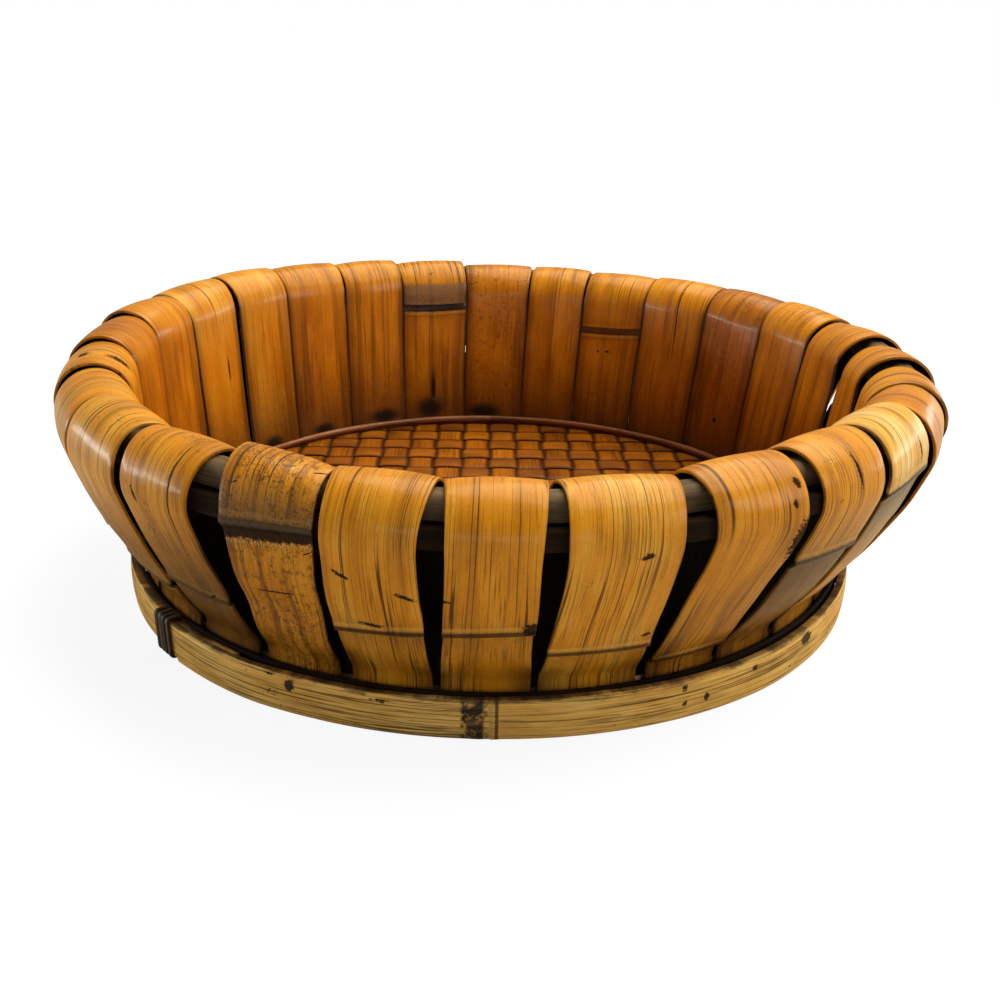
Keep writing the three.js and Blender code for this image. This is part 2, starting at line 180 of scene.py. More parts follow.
first_rows = slat_rows("slat_01")[1]
foot_skin = first_rows[first_rows[:, 2] < KNEE, 1].max()
heel_skin = first_rows[first_rows[:, 2] < HEEL + 0.2 * MM, 1].min()
start = Vector((roll_place, roll_height))
start += ROLL_RADIUS * Vector((math.cos(ROLL_LEAN), -math.sin(ROLL_LEAN)))
# The knee's lean and the place where it ends depend on each other, so they are found by turns.
knee_lean = math.radians(40)
for _ in range(30):
    knee_end = Vector((foot_skin, KNEE))
    knee_end += KNEE_RADIUS * Vector((1 - math.cos(knee_lean), math.sin(knee_lean)))
    reach = start - knee_end
    knee_lean = 2 * math.atan2(reach.x, reach.y) - ROLL_LEAN
leg_radius = reach.y / (math.sin(knee_lean) - math.sin(ROLL_LEAN))
to_centre = Vector((roll_place - heel_skin, roll_height - HEEL))
inner_lean = math.atan2(to_centre.x, to_centre.y) - math.asin(ROLL_RADIUS / to_centre.length)
print("knee leans", round(math.degrees(knee_lean), 1), "degrees, leg radius", round(leg_radius / MM, 1), "mm")

# %% Bend the blank
ACROSS = 14
deselect_all()
upright = (math.pi / 2, 0, 0)
bpy.ops.mesh.primitive_grid_add(x_subdivisions=ACROSS, y_subdivisions=6, size=1, rotation=upright)
blank = bpy.context.object
blank.name = "slat_blank"
bpy.ops.object.transform_apply(location=True, rotation=True, scale=True)
open_all(blank)
bpy.ops.transform.resize(value=(2 * BLANK_HALF, 1, KNEE - TOE), center_override=(0, 0, 0))
bpy.ops.transform.translate(value=(0, -foot_skin, (KNEE + TOE) / 2))
select_where(blank, lambda place: place.z > KNEE - 0.01 * MM)
knee_centre = (0, -foot_skin - KNEE_RADIUS, KNEE)
bpy.ops.mesh.spin(steps=6, angle=-knee_lean, center=knee_centre, axis=(1, 0, 0))
leg_middle = knee_end + leg_radius * Vector((-math.cos(knee_lean), math.sin(knee_lean)))
leg_centre = (0, -leg_middle.x, leg_middle.y)
bpy.ops.mesh.spin(steps=60, angle=knee_lean - ROLL_LEAN, center=leg_centre, axis=(1, 0, 0))
roll_turn = math.pi - inner_lean + ROLL_LEAN
bpy.ops.mesh.spin(steps=50, angle=roll_turn, center=(0, -roll_place, roll_height), axis=(1, 0, 0))
inner_end = Vector((roll_place, roll_height))
inner_end += ROLL_RADIUS * Vector((-math.cos(inner_lean), math.sin(inner_lean)))
INNER_STEPS = 38
inner_step = (Vector((heel_skin, HEEL)) - inner_end) / INNER_STEPS
for _ in range(INNER_STEPS):
    bpy.ops.mesh.extrude_region_move(TRANSFORM_OT_translate={"value": (0, -inner_step.x, inner_step.y)})
close()
print("slat blank:", len(blank.data.polygons), "faces, box", in_mm(blank.dimensions))

# %% [markdown]
# ## Reading the blank as a map
# Every slat is a copy of the blank, a little different in width, twist and node. For that we need to know,
# for each point, how far along the strip it lies and how far across. The middle row of points gives the
# line and its normal.

# %% Lines along the blank
blank_rows = places(blank)
middle_row = blank_rows[np.abs(blank_rows[:, 0]) < 0.01 * MM][:, 1:]
ordered = [int(np.argmin(np.abs(middle_row[:, 1] - TOE) + 10 * np.abs(middle_row[:, 0] + foot_skin)))]
left_over = set(range(len(middle_row))) - set(ordered)
while left_over:
    here = middle_row[ordered[-1]]
    nearest = min(left_over, key=lambda index: np.hypot(*(middle_row[index] - here)))
    ordered.append(nearest)
    left_over.remove(nearest)
line = middle_row[ordered]
line_along = np.concatenate(([0], np.cumsum(np.hypot(*np.diff(line, axis=0).T))))
travel = np.gradient(line, axis=0)
travel /= np.hypot(*travel.T)[:, None]
line_normal = np.column_stack((-travel[:, 1], travel[:, 0]))
row_of = np.array([int(np.argmin(np.hypot(*(line - place[1:]).T))) for place in blank_rows])
along = line_along[row_of]
across = blank_rows[:, 0] / BLANK_HALF
SLAT_LENGTH = line_along[-1]
CREST = line_along[int(np.argmax(line[:, 1]))]
print("slat length", round(SLAT_LENGTH / MM, 1), "mm, crest at", round(CREST / MM, 1), "mm, rows", len(line))

# %% [markdown]
# ## A rim that isn't quite round
# The tray was bent by hand and eye. Its rim stands higher at the back left and lower at the back right, and
# its left side is drawn in. It also stands a little to the right of its foot. A few angles from the front,
# in degrees, carry the differences in millimetres. The slats and the hoops inside the rim follow them
# together.

# %% Unevenness of the rim
RISE_ANGLES = (-168, -149, -130, -95, -75, 20, 45, 75, 120, 155, 178)
RISES = (0, 2.4, 4.2, 3.0, 0, 0, 1.4, -1.9, -1.9, -2.9, -2.2)
DRAW_ANGLES = (-160, -118, -98, -85, -70, -30, 0, 90)
DRAWS = (0, 0, 2.6, 3.8, 3.8, 1.0, 0, 0)
RIM_LEAN = 2 * MM


def rim_rise(angle):
    return MM * np.interp(np.degrees(angle), RISE_ANGLES, RISES, period=360)


def rim_draw(angle):
    return MM * np.interp(np.degrees(angle), DRAW_ANGLES, DRAWS, period=360)


def eased(value, stops, amounts):
    """Runs smoothly from one amount to the next as the value passes their stops."""
    stops = np.array(stops, dtype=float)
    amounts = np.array(amounts, dtype=float)
    before = np.clip(np.searchsorted(stops, value) - 1, 0, len(stops) - 2)
    part = np.clip((value - stops[before]) / (stops[before + 1] - stops[before]), 0, 1)
    part = part * part * (3 - 2 * part)
    return amounts[before] + (amounts[before + 1] - amounts[before]) * part


def move_to(piece, rows):
    piece.data.vertices.foreach_set("co", np.ascontiguousarray(rows, dtype=np.float64).ravel())
    piece.data.update()


def round_of(rows):
    """The angle of each point from the front, and its distance from the tray's axis."""
    return np.arctan2(rows[:, 0], -rows[:, 1]), np.hypot(rows[:, 0], rows[:, 1])


def wound(angle, radius, height):
    """Points from their angle, their distance from the axis and their height."""
    return np.column_stack((radius * np.sin(angle), -radius * np.cos(angle), height))


def follow_rim(piece):
    """Moves a hoop inside the rim as the slats round it are moved."""
    rows = places(piece)
    angle, radius = round_of(rows)
    moved = wound(angle, radius - rim_draw(angle), rows[:, 2] + rim_rise(angle))
    move_to(piece, moved + (RIM_LEAN, 0, 0))


print("rim rises by", min(RISES), "to", max(RISES), "mm and is drawn in by up to", max(DRAWS), "mm")

# %% [markdown]
# ## Twenty-eight slats, no two alike
# Each slat takes its width from the CAD slat under it. The maker's hand shows in small things: a roll
# stands a little higher, the edges wander, the node slants. A bamboo node is a raised lip with a groove
# under it, and the stem is thinner below it. The table gives what can be seen on each slat: how pale it is,
# how worn, where its node sits and how dark that is, how far its roll is lifted, and up to three marks,
# each with its place across, its place along, its half sizes in millimetres and its slant. Some slats have
# edges that lean and swing, which leaves dark gaps.

# %% What each slat looks like
SLATS = [
    # pale, wear, node at, node dark, lift, marks
    (0.56, 0.30, 0.235, 0.55, 0.0, [(0.84, 0.25, 2.6, 3.4, 0), (-0.95, 0.31, 2.0, 0.7, -10)]),
    (0.64, 0.25, 0.175, 0.55, 0.0, [(0.35, 0.39, 2.8, 1.3, 5), (0.8, 0.21, 1.8, 1.2, 20)]),
    (0.52, 0.50, 0.105, 0.60, 0.8,
     [(0.97, 0.372, 3.4, 8.5, 0), (0.85, 0.46, 1.4, 2.2, 0), (0.7, 0.43, 1, 1.5, 0)]),
    (0.58, 0.60, 0.300, 0.95, 1.5, [(0.1, 0.445, 0.8, 8.0, 8)]),
    (0.88, 0.45, 0.385, 1.00, 1.5, [(0.8, 0.28, 3.0, 5.0, 0), (0.5, 0.43, 0.8, 5.0, 10)]),
    (0.42, 0.45, 0.120, 0.70, 0.5, []),
    (0.60, 0.35, 0.300, 0.60, 0.0, []),
    (0.54, 0.35, 0.180, 0.50, 0.2, []),
    (0.46, 0.35, 0.270, 0.50, 0.0, []),
    (0.56, 0.35, 0.150, 0.45, 0.3, []),
    (0.34, 0.85, 0.310, 0.35, 0.0, [(-0.1, 0.86, 1.6, 2.0, 0)]),
    (0.54, 0.35, 0.200, 0.40, 0.2, [(-0.15, 0.65, 0.5, 28, 2)]),
    (0.54, 0.40, 0.695, 0.45, 0.0, [(0.0, 0.75, 1.6, 1.0, 0), (0.3, 0.752, 0.9, 1.0, 0)]),
    (0.52, 0.35, 0.160, 0.40, 0.3, []),
    (0.42, 0.95, 0.240, 0.50, 0.0, [(0.3, 0.930, 13, 6.0, 0)]),
    (0.54, 0.50, 0.663, 1.00, 0.0, [(0.15, 0.918, 11, 9.0, 0), (0.05, 0.865, 2.0, 14, 0)]),
    (0.54, 0.40, 0.290, 0.40, 0.2, [(-0.2, 0.928, 12, 5.6, 0)]),
    (0.48, 0.45, 0.170, 0.40, 0.0, [(0.1, 0.936, 9.0, 4.4, 0)]),
    (0.62, 0.35, 0.330, 0.40, 0.2, [(0.2, 0.936, 8.5, 5.0, 0)]),
    (0.62, 0.35, 0.210, 0.45, 0.0, [(-0.3, 0.74, 1.1, 8.0, 0)]),
    (0.50, 0.40, 0.150, 0.45, 0.2, []),
    (0.37, 0.40, 0.260, 0.40, 0.0, []),
    (0.58, 0.60, 0.190, 0.40, 0.3, [(0.3, 0.50, 3.2, 2.6, 0), (0.35, 0.57, 2.6, 7.0, 10)]),
    (0.64, 0.40, 0.230, 0.40, 0.0, []),
    (0.60, 0.60, 0.170, 0.40, 0.2, []),
    (0.54, 0.75, 0.210, 0.60, 0.0, [(0.55, 0.42, 0.4, 26, 0), (-0.55, 0.40, 0.9, 3.5, 25)]),
    (0.56, 1.20, 0.400, 2.00, 2.0, [(0.0, 0.275, 11, 0.4, 0)]),
    (0.58, 0.30, 0.220, 0.62, 0.6,
     [(-0.6, 0.345, 3.8, 0.9, -30), (0.7, 0.31, 4.4, 1, -25), (-0.1, 0.242, 5.5, 1.2, -8)]),
]
EDGE_STOPS = (0.08, 0.26, 0.40, 0.52, 0.64)
STRAIGHT = (0, 0, 0, 0, 0)
LEANING = (2.0, 3.0, 3.0, 1.0, 0)
LEANING_BACK = (-2.0, -3.0, -3.0, -1.0, 0)
A_LITTLE = (1.0, 1.5, 1.5, 0.5, 0)
A_LITTLE_BACK = (-1.0, -1.5, -1.5, -0.5, 0)
EDGES = {
    # slat: its left and right edge moved sideways in millimetres, at each of the stops from foot to inside
    1: ((-3.0, -1.8, -0.8, -0.7, 0), (1.4, 0.6, 0, 0.2, 0)),
    2: ((0.8, -1.0, -0.3, 1.4, 0), (1.0, -2.2, -2.0, -1.6, 0)),
    3: ((1.5, -1.2, 1.0, 0.6, 0), (0.8, -1.8, 2.4, 1.0, 0)),
    4: ((0, 0, 3.6, 3.5, 0), (0, 1.5, 3.0, 3.5, 0)),
    5: ((0, 0, 0.5, 4.5, 0), (0, 0, -2.4, 0, 0)),
    6: ((0, 0, -4.0, 2.0, 0), STRAIGHT),
    7: (STRAIGHT, (0, 0, 0, -1.0, -2.0)),
    8: ((0, 0, 0, 1.0, 2.0), (0, 0, 0, -1.5, -2.5)),
    9: ((0, 0, 0, 2.0, 3.0), (0, 2.6, 3.0, 0, 0)),
    10: ((0, -0.8, -1.0, 0, 0), STRAIGHT),
    13: (STRAIGHT, A_LITTLE_BACK),
    14: (A_LITTLE_BACK, LEANING_BACK),
    15: (LEANING_BACK, LEANING),
    16: (LEANING, A_LITTLE),
    17: (A_LITTLE, STRAIGHT),
    20: ((0, 0, 0, 0, 2.2), (0, 0, 0, 0, -1.5)),
    24: ((0, 0, 3.0, 1.0, 0), (0, 4.0, 5.5, 0.5, 0)),
    25: ((0, 2.0, 3.0, 0.5, 0), (3.0, 8.0, 6.5, 0.5, 0)),
    26: ((3.0, 6.0, 5.0, 2.5, 0), (0, 5.0, 2.8, 1.5, 0)),
    27: ((0.5, 7.0, 9.5, 7.5, 0), (-1.5, 3.5, 6.5, 4.2, 0)),
    28: ((0, 0.5, 1.9, 2.6, 0), (-2.2, -1.2, -1.8, -0.8, 0)),
}
TILTS = {3: 0.7, 6: -0.8, 7: -1.2, 8: -1.5, 9: -1.4, 27: -1.5, 28: -0.4}
print(len(SLATS), "slats listed,", len(EDGES), "of them with edges that swing")

# %% [markdown]
# ## From a sheet to a strip
# Each slat starts as a copy of the blank, which is a sheet. Solidify gives it its thickness and Bevel rounds
# its cut edges. A UV map in metres, and values noted on its points, tell the finish where it is on the strip.

# %% Helpers for strips
SMOOTH_BELOW = math.radians(40)


def copy_of(piece, name):
    """A copy with its own mesh."""
    twin = piece.copy()
    twin.data = piece.data.copy()
    twin.name = name
    twin.data.name = name
    bpy.context.collection.objects.link(twin)
    return twin


def thicken(piece, thickness, bevel, segments=2, limit=72, weights="", backed=False):
    """Gives a sheet its thickness towards the back and rounds the edges that turn by more than the limit.

    The weights thin it in places, and a backed sheet has a material slot for its back.
    """
    pick(piece)
    solid = piece.modifiers.new("thickness", "SOLIDIFY")
    solid.thickness = thickness
    solid.offset = -1
    solid.vertex_group = weights
    if backed:
        piece.data.materials.append(None)
        piece.data.materials.append(None)
        solid.material_offset = 1
    bpy.ops.object.modifier_apply(modifier=solid.name)
    edge = piece.modifiers.new("edge", "BEVEL")
    edge.width = bevel
    edge.segments = segments
    edge.angle_limit = math.radians(limit)
    bpy.ops.object.modifier_apply(modifier=edge.name)
    bpy.ops.object.shade_smooth_by_angle(angle=SMOOTH_BELOW)


def note(piece, name, values, kind="FLOAT"):
    """Writes one value or vector on each point, for the material to read."""
    layer = piece.data.attributes.new(name, kind, "POINT")
    field = "value" if kind == "FLOAT" else "vector"
    layer.data.foreach_set(field, np.asarray(values, dtype=np.float32).ravel())


def corner_points(piece):
    """Which point each face corner stands on."""
    corner = np.empty(len(piece.data.loops), dtype=np.int64)
    piece.data.loops.foreach_get("vertex_index", corner)
    return corner


def lay_map(piece, across, along):
    """A UV map in metres, across and along the strip, from one pair of values on each face corner."""
    layer = piece.data.uv_layers.new(name="strip")
    pairs = np.column_stack((across, along)).astype(np.float32)
    layer.data.foreach_set("uv", pairs.ravel())


def strip_map(piece, across, along):
    """The same map from one pair of values on each point."""
    corner = corner_points(piece)
    lay_map(piece, across[corner], along[corner])


print("strip helpers ready")

# %% [markdown]
# ## Shaping the slats
# The blank's points are moved for each slat: sideways to its width and its wandering edges, out for the
# node's lip and the crown of the strip, and up or down with the rim. Seeded random numbers vary what the
# table leaves open.

# %% Shape the slats
SLAT_EDGE = 1.15 * MM
CROWN = 0.8
FAR = (9, 9, 1, 1, 0)
MARKS = ("mark_one", "mark_two", "mark_three")
rng = np.random.default_rng(28)


def slat_halves(rows):
    """Half the width of the CAD slat along its length."""
    nearest = np.array([int(np.argmin(np.hypot(line[:, 0] + r, line[:, 1] - z))) for r, z in rows[:, 1:]])
    reach_at = {}
    for row, side in zip(nearest, np.abs(rows[:, 0])):
        key = round(line_along[row] / (2 * MM))
        reach_at[key] = max(reach_at.get(key, 0), side)
    keys = sorted(reach_at)
    return np.interp(along, np.array(keys) * 2 * MM, [reach_at[key] for key in keys])


def hump(distance, width):
    return np.exp(-((distance / width) ** 2))


def wander(share):
    """A slow random wave along a strip, in millimetres."""
    return sum(rng.uniform(-0.16, 0.16) * np.sin(share * math.tau * n + rng.uniform(0, 6)) for n in (2, 3, 5))


def make_slat(index):
    name = f"slat_{index + 1:02d}"
    pale, wear, node_share, node_dark, lift, marks = SLATS[index]
    left_shifts, right_shifts = EDGES.get(index + 1, (STRAIGHT, STRAIGHT))
    angle, rows = slat_rows(name)
    half = slat_halves(rows)
    share = along / SLAT_LENGTH
    inside = np.clip((along - CREST - 12 * MM) / (20 * MM), 0, 1)
    waves = wander(share)
    slant = rng.uniform(-1.2, 1.2) * across - rng.uniform(0.2, 0.8) * across**2
    from_node = along / MM - node_share * SLAT_LENGTH / MM - slant
    thinner = eased(from_node, (-2.6, 0), (1, 0)) * (node_share < 0.5)
    lip = 0.65 * hump(from_node - 0.9, 1.6) - 0.3 * hump(from_node + 1.4, 1.1)
    tilt = TILTS.get(index + 1, rng.uniform(-0.4, 0.4)) * eased(share, (0.12, 0.36, 0.55, 0.7), (0, 1, 1, 0))
    swell = rng.uniform(-0.1, 0.3) * hump(along - CREST, 30 * MM)
    ripple = rng.uniform(-0.12, 0.12) * np.sin(share * math.tau * 9 + 3 * across)
    out = swell + tilt * across + ripple + lip - 0.3 * thinner - CROWN * across**2
    grown = np.interp(inside, (0, 1), (-0.15, 0.36)) - 0.5 * thinner
    left_edge = -half - grown * MM + eased(share, EDGE_STOPS, left_shifts) * MM
    right_edge = half + grown * MM + eased(share, EDGE_STOPS, right_shifts) * MM
    sideways = left_edge + (right_edge - left_edge) * (1 + across) / 2
    sideways += (0.3 + 0.7 * np.abs(across)) * (1 - 0.8 * inside) * waves * MM
    flat = line[row_of] + line_normal[row_of] * out[:, None] * MM
    climb = np.minimum(along / CREST, (SLAT_LENGTH - along) / (SLAT_LENGTH - CREST))
    outer_draw = np.interp(climb, (0.1, 0.4, 1), (0, 0.85, 1))
    radius = -flat[:, 0] - rim_draw(angle) * np.where(along < CREST, outer_draw, climb**1.5)
    upper = eased(climb, (0.1, 1), (0, 1))
    height = flat[:, 1] + (rim_rise(angle) + lift * MM) * upper
    slat = copy_of(blank, name + "_bamboo")
    x = sideways * math.cos(angle) + radius * math.sin(angle) + RIM_LEAN * upper
    y = sideways * math.sin(angle) - radius * math.cos(angle)
    move_to(slat, np.column_stack((x, y, height)))
    strip_map(slat, across * half, along + 0.5 * index)
    skin = np.where(from_node < 0, min(pale, 0.6), pale)
    look = np.column_stack((skin, np.full(len(along), wear), np.full(len(along), node_dark)))
    note(slat, "slat_look", look, "FLOAT_VECTOR")
    note(slat, "from_node", from_node * MM)
    note(slat, "edge", np.abs(across))
    note(slat, "share", share)
    for label, mark in zip(MARKS, marks + [FAR, FAR, FAR]):
        turned = math.radians(mark[4])
        side = across * half - mark[0] * half.mean()
        run = along - mark[1] * SLAT_LENGTH
        long_way = (side * math.cos(turned) + run * math.sin(turned)) / (mark[2] * MM)
        short_way = (run * math.cos(turned) - side * math.sin(turned)) / (mark[3] * MM)
        note(slat, label, np.column_stack((long_way, short_way, 0 * run)), "FLOAT_VECTOR")
    thicken(slat, SLAT_EDGE, 0.32 * MM, backed=True)
    return slat


slats = [make_slat(index) for index in range(len(SLATS))]
bpy.data.objects.remove(blank)
print(len(slats), "slats of", len(slats[0].data.polygons), "faces")

# %% [markdown]
# ## Hoops of the rim and the foot
# The slats bear on a round-topped hoop and two flat bands, which show as grey-brown wood in the gaps
# between slats. A binding hoop lies behind the foot ring and a core hoop is pressed between the two legs.
# Each is a section that is drawn as a plane, rounded at its corners and spun about the tray's axis.

# %% Turn the hoops
def ring_map(piece, offset):
    """A map for a turned piece: across its section, and along its round."""
    faces = piece.data.polygons
    sizes = np.empty(len(faces), dtype=np.int64)
    faces.foreach_get("loop_total", sizes)
    centres = np.empty(len(faces) * 3)
    faces.foreach_get("center", centres)
    middle = round_of(np.repeat(centres.reshape(-1, 3), sizes, axis=0))[0]
    rows = places(piece)[corner_points(piece)]
    here, radius = round_of(rows)
    turned = middle + (here - middle + math.pi) % math.tau - math.pi
    lay_map(piece, rows[:, 2] + radius, turned * radius.mean() + offset)


def turn_hoop(name, node, rounding, upper_rounding=None, begin=0.0, sweep=math.tau, steps=180):
    """Spins the section that a CAD hoop has, with rounded corners."""
    low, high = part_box(node)
    radii = round_of(places(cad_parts[node]))[1]
    inner, outer = radii.min(), radii.max()
    deselect_all()
    bpy.ops.mesh.primitive_plane_add(size=1, rotation=upright)
    piece = bpy.context.object
    piece.name = name
    bpy.ops.object.transform_apply(location=True, rotation=True, scale=True)
    open_all(piece)
    bpy.ops.transform.resize(value=(outer - inner, 1, high.z - low.z), center_override=(0, 0, 0))
    bpy.ops.transform.translate(value=((inner + outer) / 2, 0, (low.z + high.z) / 2))
    select_where(piece, lambda place: place.z > (low.z + high.z) / 2)
    upper_segments = 8 if upper_rounding else 3
    bpy.ops.mesh.bevel(offset=upper_rounding or rounding, segments=upper_segments, affect="VERTICES")
    select_where(piece, lambda place: place.z < low.z + 0.01 * MM)
    bpy.ops.mesh.bevel(offset=rounding, segments=3, affect="VERTICES")
    bpy.ops.mesh.select_all(action="SELECT")
    bpy.ops.mesh.delete(type="ONLY_FACE")
    bpy.ops.mesh.select_all(action="SELECT")
    if sweep < math.tau:
        bpy.ops.transform.rotate(value=-(begin - math.pi / 2), orient_axis="Z", center_override=(0, 0, 0))
    bpy.ops.mesh.spin(steps=steps, angle=-sweep, center=(0, 0, 0), axis=(0, 0, 1))
    bpy.ops.mesh.select_all(action="SELECT")
    bpy.ops.mesh.remove_doubles(threshold=0.005 * MM)
    if sweep < math.tau:
        bpy.ops.mesh.fill_holes(sides=0)
    bpy.ops.mesh.normals_make_consistent(inside=False)
    close()
    bpy.ops.object.shade_smooth_by_angle(angle=SMOOTH_BELOW)
    ring_map(piece, 0.9 * len(name))
    return piece


top_hoop = turn_hoop("rim_core_top", "rim_top_hoop", 0.5 * MM, 3.4 * MM)
outer_band = turn_hoop("rim_core_outer", "rim_outer_band", 0.6 * MM)
inner_band = turn_hoop("rim_core_inner", "rim_inner_band", 0.6 * MM)
for hoop in (top_hoop, outer_band, inner_band):
    follow_rim(hoop)
core_hoop = turn_hoop("foot_core", "foot_core_hoop", 0.4 * MM)
print("hoops:", [piece.name for piece in (top_hoop, outer_band, inner_band, core_hoop)])

# %% [markdown]
# ## The foot ring
# The foot ring is one strip of bamboo whose two ends are shaved thin and lapped. The easiest way to model
# that is the maker's way: shape a straight strip, ends and all, and then wrap it round. The grid is the
# strip's outer face. Its points are wound in code, a little further out at the front right, as on the real
# ring, and Solidify gives the thickness, thinner at both ends.

# %% Wind the foot ring
LASHING_ANGLE = math.radians(-50)
TIP_ANGLE = math.radians(-52.7)
FOOT_THICKNESS = 2.6 * MM
TIP_THICKNESS = 1.0 * MM
TIP_GAP = 0.3 * MM
RING_INNER = 141.8 * MM
FOOT_NODE = math.radians(0.7)
LAP = math.radians(18)
SLOT = 1.35 * MM
SLOT_HALF = 7 * MM
SWELL_ANGLES = (-44, -25, 0, 15, 40, 70, 95)
SWELLS = (0, 0.9, 0.3, 0.8, 1.8, 0.9, 0)
FOOT_SPOTS = [
    # degrees from the front, then height, half length and half height in millimetres
    (-25.5, 10.3, 2.2, 2.6),
    (-28.6, 12.6, 2.4, 0.7),
    (-27.1, 1.6, 0.5, 1.6),
    (-13.1, 11.2, 5.0, 0.8),
    (25.8, 11.2, 1.2, 1.8),
    (25.9, 5.6, 1.2, 1.4),
    (29.2, 6.1, 1.4, 1.9),
    (31.6, 5.3, 0.7, 1.7),
    (37.4, 10.4, 1.5, 1.4),
    (45.3, 3.4, 0.9, 0.9),
    (49.3, 10.3, 4.2, 2.6),
]
deselect_all()
bpy.ops.mesh.primitive_grid_add(x_subdivisions=720, y_subdivisions=12, size=1)
foot = bpy.context.object
foot.name = "foot_ring_bamboo"
grid = places(foot)
turn = (grid[:, 0] + 0.5) * (math.tau + LAP)
height = (grid[:, 1] + 0.5) * FOOT_HEIGHT
angle = TIP_ANGLE + turn
first = np.clip(turn / LAP, 0, 1)
last = np.clip((turn - math.tau) / LAP, 0, 1)
thickness = np.interp(np.minimum(first, 1 - last), (0, 1), (TIP_THICKNESS, FOOT_THICKNESS))
tip_lift = np.interp(first, (0, 1), (FOOT_THICKNESS, TIP_THICKNESS)) + TIP_GAP
inner = RING_INNER + tip_lift * (1 - eased((turn - LAP) / (0.7 * LAP), (0, 1), (0, 1)))
rounding = 0.55 * MM * (2 * height / FOOT_HEIGHT - 1) ** 2 * np.minimum(first, 1 - last)
from_node = (angle - FOOT_NODE) * RING_INNER / MM
lip = 0.4 * hump(from_node - 0.6, 1.4) + 0.25 * hump(from_node + 4, 2.6) - 0.2 * hump(from_node + 1, 1)
swollen = np.interp(np.degrees(angle), SWELL_ANGLES, SWELLS, period=360)
outer = inner + thickness - rounding + (lip + swollen) * MM
wavy = 0.25 * MM * np.sin(3 * angle + 1) * np.sin(7 * angle) * (grid[:, 1] > 0.49)
from_lashing = (angle - LASHING_ANGLE + math.pi) % math.tau - math.pi
in_slot = np.abs(from_lashing) * RING_INNER < SLOT_HALF
height = np.where(in_slot, np.maximum(height, SLOT), height) + wavy
move_to(foot, wound(angle, outer, height))
spot = np.full(len(angle), -2.0)
for degrees, level, length, tall in FOOT_SPOTS:
    run = (angle - math.radians(degrees)) * RING_INNER / MM / length
    spot = np.maximum(spot, 1 - np.hypot(run, (height / MM - level) / tall))
strip_map(foot, height, angle * RING_INNER)
note(foot, "from_node", from_node * MM)
note(foot, "edge", 2 * height / FOOT_HEIGHT - 1)
note(foot, "spot", spot)
weights = foot.vertex_groups.new(name="thickness")
for index, share in enumerate(thickness / FOOT_THICKNESS):
    weights.add([index], float(share), "REPLACE")
open_all(foot)
bpy.ops.mesh.normals_make_consistent(inside=False)
close()
thicken(foot, FOOT_THICKNESS, 0.35 * MM, limit=50, weights=weights.name)
print("foot ring:", len(foot.data.polygons), "faces, box", in_mm(foot.dimensions))

# %% [markdown]
# ## The binding hoop and the lashing
# The dark binding hoop is open where the lashing passes behind the ring. The lashing is one flat cane that
# goes round the lap four times. It is made as the foot ring is: a flat ribbon is laid out as a grid, and
# its points are wound round a rounded box, a little further along with every loop.

# %% Turn the binding hoop
binding_rows = places(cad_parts["foot_binding_hoop"])
binding_turn = (round_of(binding_rows)[0] - LASHING_ANGLE) % math.tau
begin = LASHING_ANGLE + binding_turn.min()
sweep = binding_turn.max() - binding_turn.min()
binding_hoop = turn_hoop("foot_binding", "foot_binding_hoop", 0.35 * MM, begin=begin, sweep=sweep)
print("binding hoop:", len(binding_hoop.data.polygons), "faces, box", in_mm(binding_hoop.dimensions))

# %% Wind the lashing
LOOPS = 4
PITCH = 2.8 * MM
CANE_WIDTH = 2.2 * MM
CANE_THICKNESS = 0.85 * MM
CORNER = 1.5 * MM
lash_rows = places(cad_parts["foot_lashing"])
lash_radius = lash_rows[:, 0] * math.sin(LASHING_ANGLE) - lash_rows[:, 1] * math.cos(LASHING_ANGLE)
inner, outer = lash_radius.min() + CORNER, lash_radius.max() - CORNER
bottom, top = lash_rows[:, 2].min() + CORNER, lash_rows[:, 2].max() - CORNER
deselect_all()
bpy.ops.mesh.primitive_grid_add(x_subdivisions=LOOPS * 64, y_subdivisions=4, size=1)
lashing = bpy.context.object
lashing.name = "foot_lashing_cane"
grid = places(lashing)
turns = (grid[:, 0] + 0.5) * LOOPS
wide, tall = outer - inner, top - bottom
bend = math.pi / 2 * CORNER
path = np.cumsum((0, bend, wide, bend, tall, bend, wide, bend, tall))
travelled = (turns % 1) * path[-1]
travelled[turns == LOOPS] = path[-1]
facing = np.interp(travelled, path, np.radians([180, 90, 90, 0, 0, -90, -90, -180, -180]))
centre_r = np.interp(travelled, path, [inner, inner, outer, outer, outer, outer, inner, inner, inner])
centre_z = np.interp(travelled, path, [top, top, top, top, bottom, bottom, bottom, bottom, top])
rounded = CORNER - 0.16 * MM * (2 * grid[:, 1]) ** 2
radius = centre_r + rounded * np.cos(facing)
height = centre_z + rounded * np.sin(facing)
lean = 0.35 * MM * np.sin(1.7 * np.floor(turns) + 1) * np.cos(facing)
sideways = PITCH * (turns - LOOPS / 2) + CANE_WIDTH * grid[:, 1] + lean
x = radius * math.sin(LASHING_ANGLE) + sideways * math.cos(LASHING_ANGLE)
y = -radius * math.cos(LASHING_ANGLE) + sideways * math.sin(LASHING_ANGLE)
move_to(lashing, np.column_stack((x, y, height)))
strip_map(lashing, CANE_WIDTH * grid[:, 1], turns * path[-1] + 31)
note(lashing, "edge", np.abs(2 * grid[:, 1]))
middle = Vector((np.mean(x), np.mean(y), (top + bottom) / 2))
outward = sum(face.normal.dot(face.center - middle) for face in lashing.data.polygons)
if outward < 0:
    open_all(lashing)
    bpy.ops.mesh.flip_normals()
    close()
thicken(lashing, CANE_THICKNESS, 0.2 * MM)
print("lashing:", len(lashing.data.polygons), "faces")

